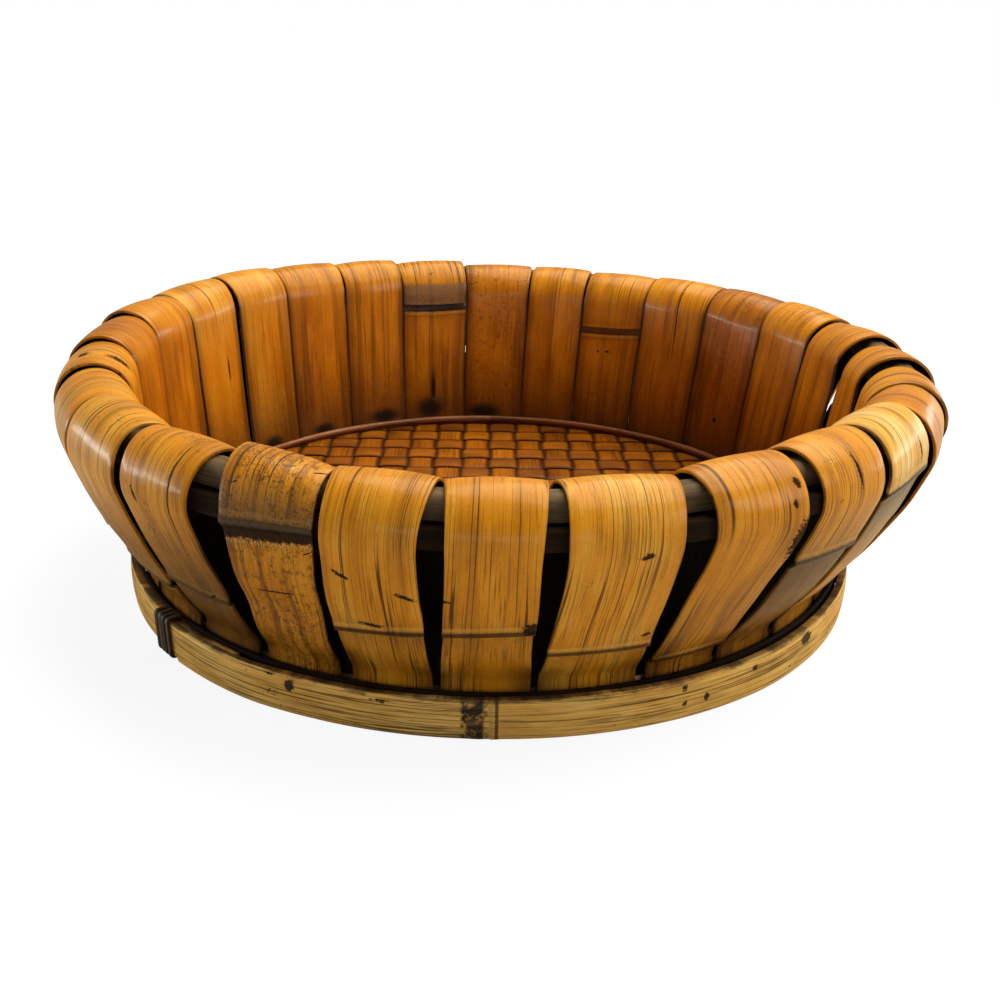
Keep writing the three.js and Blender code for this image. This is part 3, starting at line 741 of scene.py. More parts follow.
# %% [markdown]
# ## The woven floor
# The floor is a plain weave of flat strips, each over one and under the next. One strip is modelled along Y
# as a grid that rises and falls at every crossing. Copies stand side by side, and a second set is turned
# across them and waves the other way. The ends follow the round of the tray, under the cane that holds them
# down.

# %% One strip
STRIP_PITCH = 13 * MM
STRIP_WIDTH = 12.3 * MM
STRIP_THICKNESS = 0.9 * MM
WAVE = 0.52 * MM
FLATNESS = 1.7
mat_low, mat_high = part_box("woven_floor")
MAT_RADIUS = mat_high.x - 0.3 * MM
mat_level = (mat_low.z + mat_high.z) / 2
STRIPS = 2 * math.ceil(MAT_RADIUS / STRIP_PITCH)
deselect_all()
bpy.ops.mesh.primitive_grid_add(x_subdivisions=6, y_subdivisions=10 * STRIPS, size=1)
strip = bpy.context.object
strip.name = "floor_strip"
open_all(strip)
bpy.ops.transform.resize(value=(STRIP_WIDTH, STRIPS * STRIP_PITCH, 1), center_override=(0, 0, 0))
close()
strip_rows = places(strip)
print("strip:", len(strip.data.polygons), "faces,", STRIPS, "strips each way")


# %% Weave the strips
def weave(name, across_tray):
    """All strips of one direction, joined into one piece."""
    made = []
    for number in range(STRIPS):
        shift = (number - STRIPS / 2 + 0.5) * STRIP_PITCH
        side, run = strip_rows[:, 0], strip_rows[:, 1]
        place = shift + side * (1 - 0.06 * rng.random()) + rng.uniform(-0.25, 0.25) * MM
        limit = np.sqrt(np.maximum(MAT_RADIUS**2 - place**2, 0))
        run_cut = np.clip(run, -limit, limit)
        place = place + 0.25 * MM * np.sin(run_cut / 0.016 + rng.uniform(0, 6))
        phase = (number + (1 if across_tray else 0)) % 2
        wave = np.sin(math.pi * (run_cut / STRIP_PITCH + phase + STRIPS / 2))
        wave = WAVE * np.tanh(FLATNESS * wave) / math.tanh(FLATNESS)
        arch = 0.22 * MM * (1 - (2 * side / STRIP_WIDTH) ** 2)
        level = mat_level + wave + arch + STRIP_THICKNESS / 2 - 0.1 * MM
        piece = copy_of(strip, f"{name}_{number}")
        flat = (run_cut, place) if across_tray else (place, run_cut)
        move_to(piece, np.column_stack((*flat, level)))
        strip_map(piece, side, run_cut + 0.7 * number + (20 if across_tray else 0))
        note(piece, "edge", np.abs(2 * side / STRIP_WIDTH))
        note(piece, "pale", np.full(len(side), rng.random()))
        note(piece, "raised", wave / WAVE)
        open_all(piece)
        if across_tray:
            bpy.ops.mesh.flip_normals()
        bpy.ops.mesh.remove_doubles(threshold=0.05 * MM)
        close()
        if len(piece.data.polygons) == 0:
            bpy.data.objects.remove(piece)
            continue
        thicken(piece, STRIP_THICKNESS, 0.15 * MM, 1)
        made.append(piece)
    deselect_all()
    for piece in made:
        piece.select_set(True)
    bpy.context.view_layer.objects.active = made[0]
    bpy.ops.object.join()
    made[0].name = name
    made[0].data.name = name
    return made[0]


warps = weave("floor_strips_along", False)
wefts = weave("floor_strips_across", True)
bpy.data.objects.remove(strip)
print("weave:", len(warps.data.polygons) + len(wefts.data.polygons), "faces")

# %% [markdown]
# ## The cane ring and the battens
# A round cane runs along the edge of the floor. It starts as a torus, and a slow wobble in its radius and
# thickness makes it a natural cane. Two battens carry the floor from below: a cube is scaled to the CAD
# batten, bevelled and cut across in the middle.

# %% Cane ring
def clear_maps(piece):
    """Takes off the UV maps that a primitive comes with."""
    while piece.data.uv_layers:
        piece.data.uv_layers.remove(piece.data.uv_layers[0])


cane_low, cane_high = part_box("floor_cane_ring")
CANE_RADIUS = (cane_high.z - cane_low.z) / 2
cane_round = cane_high.x - CANE_RADIUS
cane_level = (cane_low.z + cane_high.z) / 2
JOINT_ANGLE = 2.2
deselect_all()
bpy.ops.mesh.primitive_torus_add(
    major_radius=cane_round,
    minor_radius=CANE_RADIUS,
    major_segments=300,
    minor_segments=16,
    location=(0, 0, cane_level),
)
cane = bpy.context.object
cane.name = "floor_cane"
bpy.ops.object.transform_apply(location=True, rotation=True, scale=True)
rows = places(cane)
angle, radius = round_of(rows)
swell = 1 - 0.06 * (1 + np.sin(5 * angle + 1)) - 0.04 * (1 + np.sin(13 * angle))
swell *= 1 - 0.2 * hump((angle - JOINT_ANGLE) * cane_round, 1.2 * MM)
height = cane_level + (rows[:, 2] - cane_level) * swell
radius = cane_round + (radius - cane_round) * swell
move_to(cane, wound(angle, radius, height))
clear_maps(cane)
ring_map(cane, 50)
pick(cane)
bpy.ops.object.shade_smooth()
print("cane ring:", len(cane.data.polygons), "faces, radius", round(cane_round / MM, 1), "mm")


# %% Battens
def make_batten(node, offset):
    low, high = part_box(node)
    middle, size = (low + high) / 2, high - low
    deselect_all()
    bpy.ops.mesh.primitive_cube_add(size=1)
    piece = bpy.context.object
    piece.name = node + "_bamboo"
    open_all(piece)
    bpy.ops.transform.resize(value=size, center_override=(0, 0, 0))
    bpy.ops.transform.translate(value=middle)
    bpy.ops.mesh.bevel(offset=0.6 * MM, segments=3, affect="EDGES")
    bpy.ops.mesh.bisect(plane_co=middle, plane_no=(0, 1, 0))
    close()
    clear_maps(piece)
    rows = places(piece)
    strip_map(piece, rows[:, 0] - middle.x + rows[:, 2], rows[:, 1] + offset)
    bpy.ops.object.shade_smooth_by_angle(angle=SMOOTH_BELOW)
    return piece


batten_left = make_batten("floor_batten_left", 61)
batten_right = make_batten("floor_batten_right", 63)
print("battens:", len(batten_left.data.polygons), "faces each")

# %% [markdown]
# ## Node helpers for the finishes
# All finishes are made of nodes. These helpers add a node, join what is given as a socket and set what is
# given as a plain value, so that a material reads as a list of steps.

# %% Helpers for nodes
def put(tree, kind, inputs=(), **settings):
    node = tree.nodes.new(kind)
    for name, value in settings.items():
        setattr(node, name, value)
    for key, value in inputs.items() if isinstance(inputs, dict) else enumerate(inputs):
        if isinstance(value, bpy.types.NodeSocket):
            tree.links.new(value, node.inputs[key])
        else:
            node.inputs[key].default_value = value
    return node


def maths(tree, operation, *inputs):
    return put(tree, "ShaderNodeMath", inputs, operation=operation).outputs[0]


def times(tree, value, factor):
    return maths(tree, "MULTIPLY", value, factor)


def scaled(tree, value, factor, added):
    """A value times a factor, and something added."""
    return maths(tree, "MULTIPLY_ADD", value, factor, added)


def spread(tree, value, low, high, to_low=0.0, to_high=1.0):
    """Maps a value smoothly from one range to another and stops at its ends."""
    ranges = (value, low, high, to_low, to_high)
    return put(tree, "ShaderNodeMapRange", ranges, interpolation_type="SMOOTHSTEP").outputs[0]


def tinted(tree, share, under, over, blend="MIX"):
    """Mixes two colours. A Mix node has its colours at inputs 6 and 7 and its mixed colour at output 2."""
    colours = {0: share, 6: under, 7: over}
    return put(tree, "ShaderNodeMix", colours, data_type="RGBA", blend_type=blend).outputs[2]


def noise(tree, vector, size, detail=2.0, roughness=0.5):
    """Noise on a vector that is first stretched by size."""
    stretched = put(tree, "ShaderNodeVectorMath", (vector, size), operation="MULTIPLY").outputs[0]
    inputs = {"Vector": stretched, "Scale": 1.0, "Detail": detail, "Roughness": roughness}
    return put(tree, "ShaderNodeTexNoise", inputs).outputs[0]


def ramp(tree, value, stops):
    node = put(tree, "ShaderNodeValToRGB", (value,))
    elements = node.color_ramp.elements
    while len(elements) < len(stops):
        elements.new(0.5)
    for element, (place, colour) in zip(elements, stops):
        element.position = place
        element.color = (*colour, 1)
    return node.outputs[0]


def read(tree, name, socket="Fac"):
    return put(tree, "ShaderNodeAttribute", attribute_name=name).outputs[socket]


def new_group(name, inputs, outputs):
    tree = bpy.data.node_groups.new(name, "ShaderNodeTree")
    for label, kind in inputs:
        tree.interface.new_socket(name=label, in_out="INPUT", socket_type=kind)
    for label, kind in outputs:
        tree.interface.new_socket(name=label, in_out="OUTPUT", socket_type=kind)
    return tree, tree.nodes.new("NodeGroupInput"), tree.nodes.new("NodeGroupOutput")


def use(tree, group, **inputs):
    return put(tree, "ShaderNodeGroup", inputs, node_tree=group).outputs


def gap_from(tree, value, place):
    """How far a value is from one place."""
    return maths(tree, "ABSOLUTE", maths(tree, "SUBTRACT", value, place))


def floats(names):
    """Sockets of a group that carry plain values."""
    return [(name, "NodeSocketFloat") for name in names]


print("node helpers ready")

# %% [markdown]
# ## Bamboo grain, shared by every strip
# Split bamboo shows fine fibres, a few long dark veins, groups of short dark dashes and broad soft bands,
# all lengthwise, and small specks. Under them the colour drifts in slow clouds. One group gives all of
# these from the strip's own map, so that the grain follows every bend. Points near one level of a stretched
# noise are the veins.

# %% Grain group
GRAIN = ("Fibre", "Veins", "Dashes", "Clouds", "Specks", "Bands")
grain, entry, result = new_group("bamboo_grain", [("Strip", "NodeSocketVector")], floats(GRAIN))
strip_socket = entry.outputs["Strip"]
fibre = noise(grain, strip_socket, (5200, 30, 1), 3.0)
vein_field = noise(grain, strip_socket, (300, 2, 1), 2.0)
vein_line = spread(grain, gap_from(grain, vein_field, 0.5), 0.004, 0.015, 1.0, 0.0)
vein_here = spread(grain, noise(grain, strip_socket, (110, 12, 1), 2.0), 0.38, 0.55)
dash_field = spread(grain, noise(grain, strip_socket, (1900, 45, 1), 2.0), 0.52, 0.64)
dash_here = spread(grain, noise(grain, strip_socket, (75, 22, 1), 2.0), 0.38, 0.62)
clouds = noise(grain, strip_socket, (85, 26, 1), 4.0, 0.6)
specks = spread(grain, noise(grain, strip_socket, (1700, 560, 1), 2.0), 0.58, 0.70)
bands = spread(grain, noise(grain, strip_socket, (170, 8, 1), 4.0, 0.6), 0.47, 0.68)
veins = times(grain, vein_line, vein_here)
dashes = times(grain, dash_field, dash_here)
for name, value in zip(GRAIN, (fibre, veins, dashes, clouds, specks, bands)):
    grain.links.new(value, result.inputs[name])
print("grain group:", len(grain.nodes), "nodes")

# %% [markdown]
# ## Wear, shared too
# Years of use leave short slanted gouges, clusters of tiny pits, rubbed patches and mottled grime. A second
# group gives these as masks, more of them where the amount is higher. A third group draws one dark mark
# with a ragged rim from a vector that tells how far each point is from the mark's middle. Less fray gives a
# rounder, softer stain.

# %% Wear group
WEAR = ("Gouges", "Pits", "Rubbed", "Mottles")
wear_inputs = [("Strip", "NodeSocketVector"), ("Amount", "NodeSocketFloat")]
wear_group, entry, result = new_group("old_wear", wear_inputs, floats(WEAR))
strip_socket = entry.outputs["Strip"]
amount = entry.outputs["Amount"]
turn_by = {"Vector": strip_socket, "Angle": math.radians(62)}
slanted = put(wear_group, "ShaderNodeVectorRotate", turn_by, rotation_type="Z_AXIS").outputs[0]
gouge_field = noise(wear_group, slanted, (620, 75, 1), 1.0)
gouge_level = scaled(wear_group, maths(wear_group, "MINIMUM", amount, 1.0), -0.055, 0.80)
gouges = spread(wear_group, maths(wear_group, "SUBTRACT", gouge_field, gouge_level), 0.0, 0.03)
pit_field = spread(wear_group, noise(wear_group, strip_socket, (1500, 1100, 1), 2.0), 0.52, 0.60)
pit_cloud = noise(wear_group, strip_socket, (70, 55, 1), 3.0)
pit_level = scaled(wear_group, amount, -0.26, 0.76)
pit_here = spread(wear_group, maths(wear_group, "SUBTRACT", pit_cloud, pit_level), 0.0, 0.08)
pits = times(wear_group, pit_field, pit_here)
rub_field = spread(wear_group, noise(wear_group, strip_socket, (240, 70, 1), 5.0, 0.65), 0.5, 0.72)
rubbed = times(wear_group, rub_field, amount)
mottle_field = noise(wear_group, strip_socket, (430, 300, 1), 6.0, 0.75)
mottle_level = scaled(wear_group, amount, -0.13, 0.66)
mottles = spread(wear_group, maths(wear_group, "SUBTRACT", mottle_field, mottle_level), 0.0, 0.12)
for name, value in zip(WEAR, (gouges, pits, rubbed, mottles)):
    wear_group.links.new(value, result.inputs[name])
print("wear group:", len(wear_group.nodes), "nodes")

# %% Mark group
mark_inputs = [("Strip", "NodeSocketVector"), ("Mark", "NodeSocketVector"), ("Fray", "NodeSocketFloat")]
mark_group, entry, result = new_group("ragged_mark", mark_inputs, floats(("Dark",)))
from_mark = (entry.outputs["Mark"],)
reach_out = put(mark_group, "ShaderNodeVectorMath", from_mark, operation="LENGTH").outputs["Value"]
ragged = noise(mark_group, entry.outputs["Strip"], (900, 900, 1), 4.0, 0.7)
frayed = times(mark_group, maths(mark_group, "SUBTRACT", ragged, 0.5), entry.outputs["Fray"])
reach_out = maths(mark_group, "ADD", reach_out, frayed)
core = scaled(mark_group, entry.outputs["Fray"], 0.2, 0.1)
mark_group.links.new(spread(mark_group, reach_out, core, 1.0, 1.0, 0.0), result.inputs["Dark"])
print("mark group:", len(mark_group.nodes), "nodes")

# %% [markdown]
# ## Lacquered slats
# The slats are amber under an old clear lacquer. Each has its own paleness, written on its points, which
# picks a colour from a ramp. Fibres, bands, dashes, veins and wear darken it. Inside the tray the skin is
# painted a little darker and more orange, a painted warm bounce light, and its grain is calmer. A finish is
# laid on like stains, one thin layer over another.

# %% Helpers for a finish
def new_material(name):
    material = bpy.data.materials.new(name)
    material.use_nodes = True
    return material, material.node_tree, material.node_tree.nodes["Principled BSDF"]


def new_finish(name):
    """A material that also has its place on the strip's map."""
    material, tree, shader = new_material(name)
    return material, tree, shader, put(tree, "ShaderNodeUVMap", uv_map="strip").outputs[0]


def dress(tree, shader, colour, roughness, height, depth):
    """Joins the finished colour, roughness and bump to the shader."""
    bump = put(tree, "ShaderNodeBump", {"Strength": 1.0, "Distance": depth, "Height": height})
    tree.links.new(colour, shader.inputs["Base Color"])
    tree.links.new(roughness, shader.inputs["Roughness"])
    tree.links.new(bump.outputs[0], shader.inputs["Normal"])


def stain(tree, colour, mask, strength, over):
    """Lays one colour over another where the mask is."""
    return tinted(tree, times(tree, mask, strength), colour, (*over, 1))


def settle(piece, slot, *nodes):
    """Ties a finished piece to the frame: it rides on the tray and stands for its CAD nodes."""
    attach(piece, "root")
    if nodes:
        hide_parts(*nodes)


print("finish helpers ready")

# %% Slat skin
slat_finish, tree, shader, place = new_finish("lacquered_bamboo")
look = put(tree, "ShaderNodeSeparateXYZ", (read(tree, "slat_look", "Vector"),)).outputs
pale, worn, node_dark = look[0], look[1], look[2]
from_node = read(tree, "from_node")
edge = read(tree, "edge")
share = read(tree, "share")
lines = use(tree, grain, Strip=place)
wear = use(tree, wear_group, Strip=place, Amount=worn)
drift = scaled(tree, lines["Clouds"], 0.8, -0.4)
AMBER = [
    (0.0, (0.17, 0.045, 0.002)),
    (0.3, (0.44, 0.145, 0.004)),
    (0.58, (0.68, 0.280, 0.009)),
    (0.82, (0.77, 0.43, 0.060)),
    (1.0, (0.82, 0.60, 0.25)),
]
inside = spread(tree, share, 0.56, 0.66)
colour = ramp(tree, maths(tree, "ADD", pale, drift), AMBER)
# Inside the tray: painted warm bounce light, the colour a little darker and more orange.
colour = tinted(tree, inside, colour, (0.95, 0.77, 0.46, 1), "MULTIPLY")
calm = scaled(tree, inside, -0.5, 1.0)
fine = times(tree, spread(tree, lines["Fibre"], 0.38, 0.66), calm)
colour = stain(tree, colour, fine, 0.30, (0.24, 0.085, 0.005))
band_share = scaled(tree, inside, 0.22, scaled(tree, worn, 0.5, 0.2))
banded = times(tree, lines["Bands"], band_share)
colour = stain(tree, colour, maths(tree, "MINIMUM", banded, 0.75), 1.0, (0.12, 0.034, 0.003))
colour = stain(tree, colour, lines["Specks"], 0.22, (0.10, 0.032, 0.004))
colour = stain(tree, colour, times(tree, lines["Dashes"], calm), 0.7, (0.10, 0.033, 0.005))
colour = stain(tree, colour, times(tree, lines["Veins"], calm), 0.9, (0.06, 0.018, 0.003))
colour = stain(tree, colour, wear["Mottles"], 0.70, (0.080, 0.024, 0.004))
colour = stain(tree, colour, maths(tree, "MINIMUM", wear["Rubbed"], 1.0), 0.2, (0.14, 0.055, 0.012))
print("slat skin:", len(tree.nodes), "nodes")

# %% [markdown]
# ## The node of a slat
# A node is a pale lip over a near black groove, with ragged darker skin round it. The pale lip is partly a
# painted highlight, and the black groove is partly painted shade under the lip. A dark node has grime under
# it:
# a long brown shade on the outside, and past the crest, inside the tray, a short grey band.

# %% Slat node
lip = spread(tree, gap_from(tree, from_node, 3.4 * MM), 0.3 * MM, 1.2 * MM, 1.0, 0.0)
groove = spread(tree, gap_from(tree, from_node, 0.4 * MM), 1.4 * MM, 2.0 * MM, 1.0, 0.0)
fray = noise(tree, place, (700, 420, 1), 3.0, 0.7)
near_node = spread(tree, maths(tree, "ABSOLUTE", from_node), 1 * MM, 9 * MM, 1.0, 0.0)
near_node = times(tree, near_node, spread(tree, fray, 0.42, 0.60, 0.3, 1.3))
under_lip = spread(tree, from_node, -1 * MM, 0.5 * MM, 1.0, 0.0)
past_crest = spread(tree, share, 0.48, 0.52)
grime_far = scaled(tree, past_crest, 32 * MM, -45 * MM)
grime_near = scaled(tree, past_crest, -9.5 * MM, -1 * MM)
torn = scaled(tree, maths(tree, "SUBTRACT", fray, 0.5), 5 * MM, from_node)
below_node = times(tree, spread(tree, torn, grime_far, grime_near), under_lip)
at_most_one = maths(tree, "MINIMUM", node_dark, 1.0)
charred = spread(tree, node_dark, 1.0, 2.0)
unburnt = maths(tree, "SUBTRACT", 1.0, charred)
grimy = times(tree, below_node, maths(tree, "POWER", at_most_one, 3.0))
grime = tinted(tree, past_crest, (0.060, 0.034, 0.009, 1), (0.19, 0.12, 0.065, 1))
grimy = times(tree, grimy, unburnt)
grimy = times(tree, grimy, scaled(tree, past_crest, -0.12, 0.9))
colour = tinted(tree, grimy, colour, grime)
colour = stain(tree, colour, times(tree, near_node, at_most_one), 0.45, (0.10, 0.04, 0.012))
# The lip's pale colour is partly the node's own and partly a painted highlight on the raised lip.
colour = stain(tree, colour, lip, 0.4, (0.66, 0.37, 0.09))
# The groove's black is partly the node's own dark line and partly painted shade under the lip.
groove_dark_and_shade = times(tree, groove, scaled(tree, at_most_one, 0.3, 0.7))
colour = stain(tree, colour, groove_dark_and_shade, 0.98, (0.010, 0.004, 0.002))
print("with its node:", len(tree.nodes), "nodes")

# %% [markdown]
# ## The charred node
# A node darkness above one gives the charred, frayed node of the slat left of the front: the skin above it
# is scorched, a black band lies under its lip, and pale torn fibres edge the band.

# %% Charred node
over_lip = spread(tree, from_node, -0.4 * MM, 1 * MM)
scorch = times(tree, over_lip, spread(tree, torn, 3 * MM, 20 * MM, 1.0, 0.0))
colour = stain(tree, colour, times(tree, scorch, charred), 0.6, (0.10, 0.06, 0.03))
char = times(tree, spread(tree, torn, -5.2 * MM, -4.2 * MM), under_lip)
colour = stain(tree, colour, times(tree, char, charred), 0.95, (0.010, 0.006, 0.004))
fuzz = spread(tree, gap_from(tree, torn, -5.6 * MM), 0.4 * MM, 1 * MM, 1.0, 0.0)
fuzz = times(tree, fuzz, spread(tree, noise(tree, place, (1800, 1100, 1), 2.0), 0.48, 0.6))
colour = stain(tree, colour, times(tree, fuzz, charred), 0.85, (0.66, 0.42, 0.16))
print("with the charred node:", len(tree.nodes), "nodes")

# %% [markdown]
# ## Edges, painted shade, darkening and pits of a slat
# Inside the tray the edges carry painted shade, and the seams a near black painted shadow. Every cut edge is
# a little darker, partly its own colour and partly painted shade where slats meet. Worn slats are painted
# darker towards the foot on the outside. Every slat is darker at its foot, most of all in the corners, and at
# its lower end on the inside.

# %% Slat edges, painted shade and darkening
# Painted shade along the slat edges inside the tray.
inner_edge_shade = times(tree, spread(tree, edge, 0.6, 1.0), inside)
colour = stain(tree, colour, inner_edge_shade, 0.55, (0.08, 0.022, 0.003))
# A near black painted shadow in the seams inside the tray.
seam_shadow = times(tree, spread(tree, edge, 0.93, 0.98), inside)
colour = stain(tree, colour, seam_shadow, 0.9, (0.020, 0.006, 0.002))
# Every cut edge a little darker: partly its own colour, partly painted shade where the slats meet.
colour = stain(tree, colour, spread(tree, edge, 0.95, 1.0), 0.25, (0.15, 0.055, 0.012))
ragged_share = scaled(tree, maths(tree, "SUBTRACT", fray, 0.5), 0.09, share)
# Worn slats are painted darker towards the foot on their outer legs.
leg_darkening = times(tree, spread(tree, worn, 0.35, 0.75), unburnt)
darker_to_foot = times(tree, spread(tree, ragged_share, 0.43, 0.22), leg_darkening)
colour = stain(tree, colour, darker_to_foot, 0.72, (0.07, 0.034, 0.008))
# Every slat is painted darker at its foot, most of all towards its edges, in the corners.
corners = scaled(tree, maths(tree, "POWER", edge, 2.0), 0.65, 0.22)
cloudy = scaled(tree, maths(tree, "SUBTRACT", lines["Clouds"], 0.5), 0.16, ragged_share)
foot_darkening = times(tree, spread(tree, cloudy, 0.18, 0.09), corners)
colour = stain(tree, colour, foot_darkening, 1.0, (0.040, 0.015, 0.004))
# The lower end on the inside is painted darker.
colour = stain(tree, colour, spread(tree, ragged_share, 0.74, 0.96), 0.8, (0.06, 0.017, 0.003))
colour = stain(tree, colour, times(tree, wear["Pits"], calm), 0.6, (0.05, 0.018, 0.005))
print("with edges and dirt:", len(tree.nodes), "nodes")

# %% [markdown]
# ## Marks and shine of a slat
# The marks come last: sharp and frayed outside, soft stains inside. They are dull and sunk, while the coat
# over the rest gives the soft shine.

# %% Slat marks and shine
COAT = 0.19
fray_by = scaled(tree, inside, -1.5, 2.2)
marks = []
for name in MARKS:
    marks.append(use(tree, mark_group, Strip=place, Mark=read(tree, name, "Vector"), Fray=fray_by)["Dark"])
scars = maths(tree, "MAXIMUM", marks[0], maths(tree, "MAXIMUM", marks[1], marks[2]))
gouges = times(tree, wear["Gouges"], maths(tree, "SUBTRACT", 1.0, inside))
scars = maths(tree, "MAXIMUM", scars, gouges)
colour = stain(tree, colour, scars, 0.95, (0.009, 0.004, 0.002))
dull = maths(tree, "MAXIMUM", scars, times(tree, char, charred))
roughness = scaled(tree, lines["Fibre"], 0.16, 0.30)
roughness = scaled(tree, wear["Rubbed"], 0.3, roughness)
roughness = scaled(tree, dull, 0.5, roughness)
height = times(tree, lines["Fibre"], 0.25)
height = scaled(tree, lines["Veins"], -0.5, height)
height = scaled(tree, scars, -1.0, height)
height = scaled(tree, wear["Mottles"], -0.25, height)
height = scaled(tree, lip, 1.5, height)
height = scaled(tree, groove, -2.0, height)
dress(tree, shader, colour, roughness, height, 0.12 * MM)
tree.links.new(scaled(tree, dull, -COAT, COAT), shader.inputs["Coat Weight"])
shader.inputs["Coat Roughness"].default_value = 0.18
shader.inputs["Specular IOR Level"].default_value = 0.15
print("slat finish:", len(tree.nodes), "nodes")

# %% [markdown]
# ## The foot ring's finish
# The foot ring is paler and drier than the slats, with straight grain along its round, a dark node at the
# front, a darker upper edge, and scuffs where the tray has been set down.

# %% Foot finish
foot_finish, tree, shader, place = new_finish("foot_bamboo")
from_node = read(tree, "from_node")
edge = read(tree, "edge")
lines = use(tree, grain, Strip=place)
wear = use(tree, wear_group, Strip=place, Amount=0.5)
STRAW = [(0.3, (0.60, 0.31, 0.06)), (0.5, (0.86, 0.53, 0.13)), (0.7, (0.96, 0.68, 0.22))]
colour = ramp(tree, lines["Clouds"], STRAW)
colour = stain(tree, colour, spread(tree, lines["Fibre"], 0.38, 0.68), 0.35, (0.30, 0.13, 0.025))
streaks = spread(tree, noise(tree, place, (1300, 15, 1), 4.0, 0.65), 0.53, 0.61)
colour = stain(tree, colour, streaks, 0.85, (0.06, 0.024, 0.007))
colour = stain(tree, colour, lines["Dashes"], 0.7, (0.06, 0.026, 0.009))
colour = stain(tree, colour, lines["Veins"], 0.7, (0.06, 0.025, 0.009))
cloudy = spread(tree, noise(tree, place, (260, 260, 1), 4.0, 0.7), 0.36, 0.54)
torn = scaled(tree, maths(tree, "SUBTRACT", cloudy, 0.5), 2.2 * MM, from_node)
band = spread(tree, gap_from(tree, torn, -4.7 * MM), 2.8 * MM, 4.2 * MM, 1.0, 0.0)
band = times(tree, band, scaled(tree, cloudy, 0.6, 0.38))
colour = stain(tree, colour, band, 1.0, (0.014, 0.007, 0.004))
pale_line = spread(tree, gap_from(tree, from_node, 0.0), 0.3 * MM, 0.9 * MM, 1.0, 0.0)
colour = stain(tree, colour, pale_line, 0.5, (0.42, 0.26, 0.11))
dark_line = spread(tree, gap_from(tree, from_node, 1.6 * MM), 0.3 * MM, 0.8 * MM, 1.0, 0.0)
colour = stain(tree, colour, dark_line, 0.85, (0.03, 0.013, 0.006))
scuffs = noise(tree, place, (300, 90, 1), 5.0, 0.7)
top_darkening = scaled(tree, maths(tree, "SUBTRACT", scuffs, 0.5), 1.3, edge)
# The upper edge is painted darker.
colour = stain(tree, colour, spread(tree, top_darkening, 0.86, 1.06), 0.75, (0.04, 0.018, 0.007))
colour = stain(tree, colour, spread(tree, edge, -0.9, -1.0), 0.35, (0.10, 0.045, 0.015))
colour = stain(tree, colour, wear["Rubbed"], 0.4, (0.66, 0.45, 0.20))
ragged = scaled(tree, noise(tree, place, (800, 800, 1), 4.0, 0.7), 1.4, -0.7)
spots = spread(tree, maths(tree, "ADD", read(tree, "spot"), ragged), 0.05, 0.3)
scars = maths(tree, "MAXIMUM", spots, maths(tree, "MAXIMUM", wear["Gouges"], wear["Pits"]))
colour = stain(tree, colour, wear["Mottles"], 0.5, (0.08, 0.035, 0.012))
colour = stain(tree, colour, scars, 0.95, (0.012, 0.006, 0.003))
roughness = scaled(tree, lines["Fibre"], 0.18, 0.42)
height = times(tree, lines["Fibre"], 0.5)
height = scaled(tree, scars, -1.2, height)
height = scaled(tree, lines["Veins"], -0.6, height)
dress(tree, shader, colour, roughness, height, 0.12 * MM)
shader.inputs["Specular IOR Level"].default_value = 0.2
foot.data.materials.append(foot_finish)
settle(foot, "bamboo_foot", "foot_ring")
print("foot finish:", len(tree.nodes), "nodes")

# %% [markdown]
# ## Plainer finishes
# The hoops, the lashing, the floor, the cane and the hidden bamboo share one recipe with other colours:
# grain over two tones, worn a little, with its own roughness. A function makes them, and each gets its own
# values.

# %% Finishes from one recipe
def plain_finish(name, dark, light, deep, worn, rough, relief, coat=0.0, edges=0.0, pale=False, shine=0.3):
    material, tree, shader, place = new_finish(name)
    lines = use(tree, grain, Strip=place)
    wear = use(tree, wear_group, Strip=place, Amount=worn)
    tone = spread(tree, lines["Clouds"], 0.3, 0.7)
    if pale:
        tone = scaled(tree, read(tree, "pale"), 0.5, times(tree, tone, 0.5))
    colour = tinted(tree, tone, (*dark, 1), (*light, 1))
    colour = stain(tree, colour, spread(tree, lines["Fibre"], 0.35, 0.7), 0.4, deep)
    streaks = maths(tree, "MAXIMUM", lines["Dashes"], lines["Veins"])
    colour = stain(tree, colour, streaks, 0.55, deep)
    # Edges painted darker: painted shade where strips or loops of cane meet and dive, partly dirt in the
    # crevices.
    if edges:
        colour = stain(tree, colour, spread(tree, read(tree, "edge"), 0.66, 0.96), edges, deep)
    # Where a strip dives under another it is painted darker: painted shade in the crevice, partly dirt.
    if pale:
        colour = stain(tree, colour, spread(tree, read(tree, "raised"), 0.6, -0.1), 0.85, deep)
    scars = maths(tree, "MAXIMUM", wear["Gouges"], wear["Pits"])
    colour = stain(tree, colour, scars, 0.7, [part * 0.4 for part in deep])
    roughness = scaled(tree, lines["Fibre"], 0.2, rough)
    roughness = scaled(tree, wear["Rubbed"], 0.25, roughness)
    height = maths(tree, "SUBTRACT", lines["Fibre"], maths(tree, "ADD", streaks, scars))
    dress(tree, shader, colour, roughness, height, relief)
    shader.inputs["Specular IOR Level"].default_value = shine
    shader.inputs["Coat Weight"].default_value = coat
    shader.inputs["Coat Roughness"].default_value = 0.18
    return material


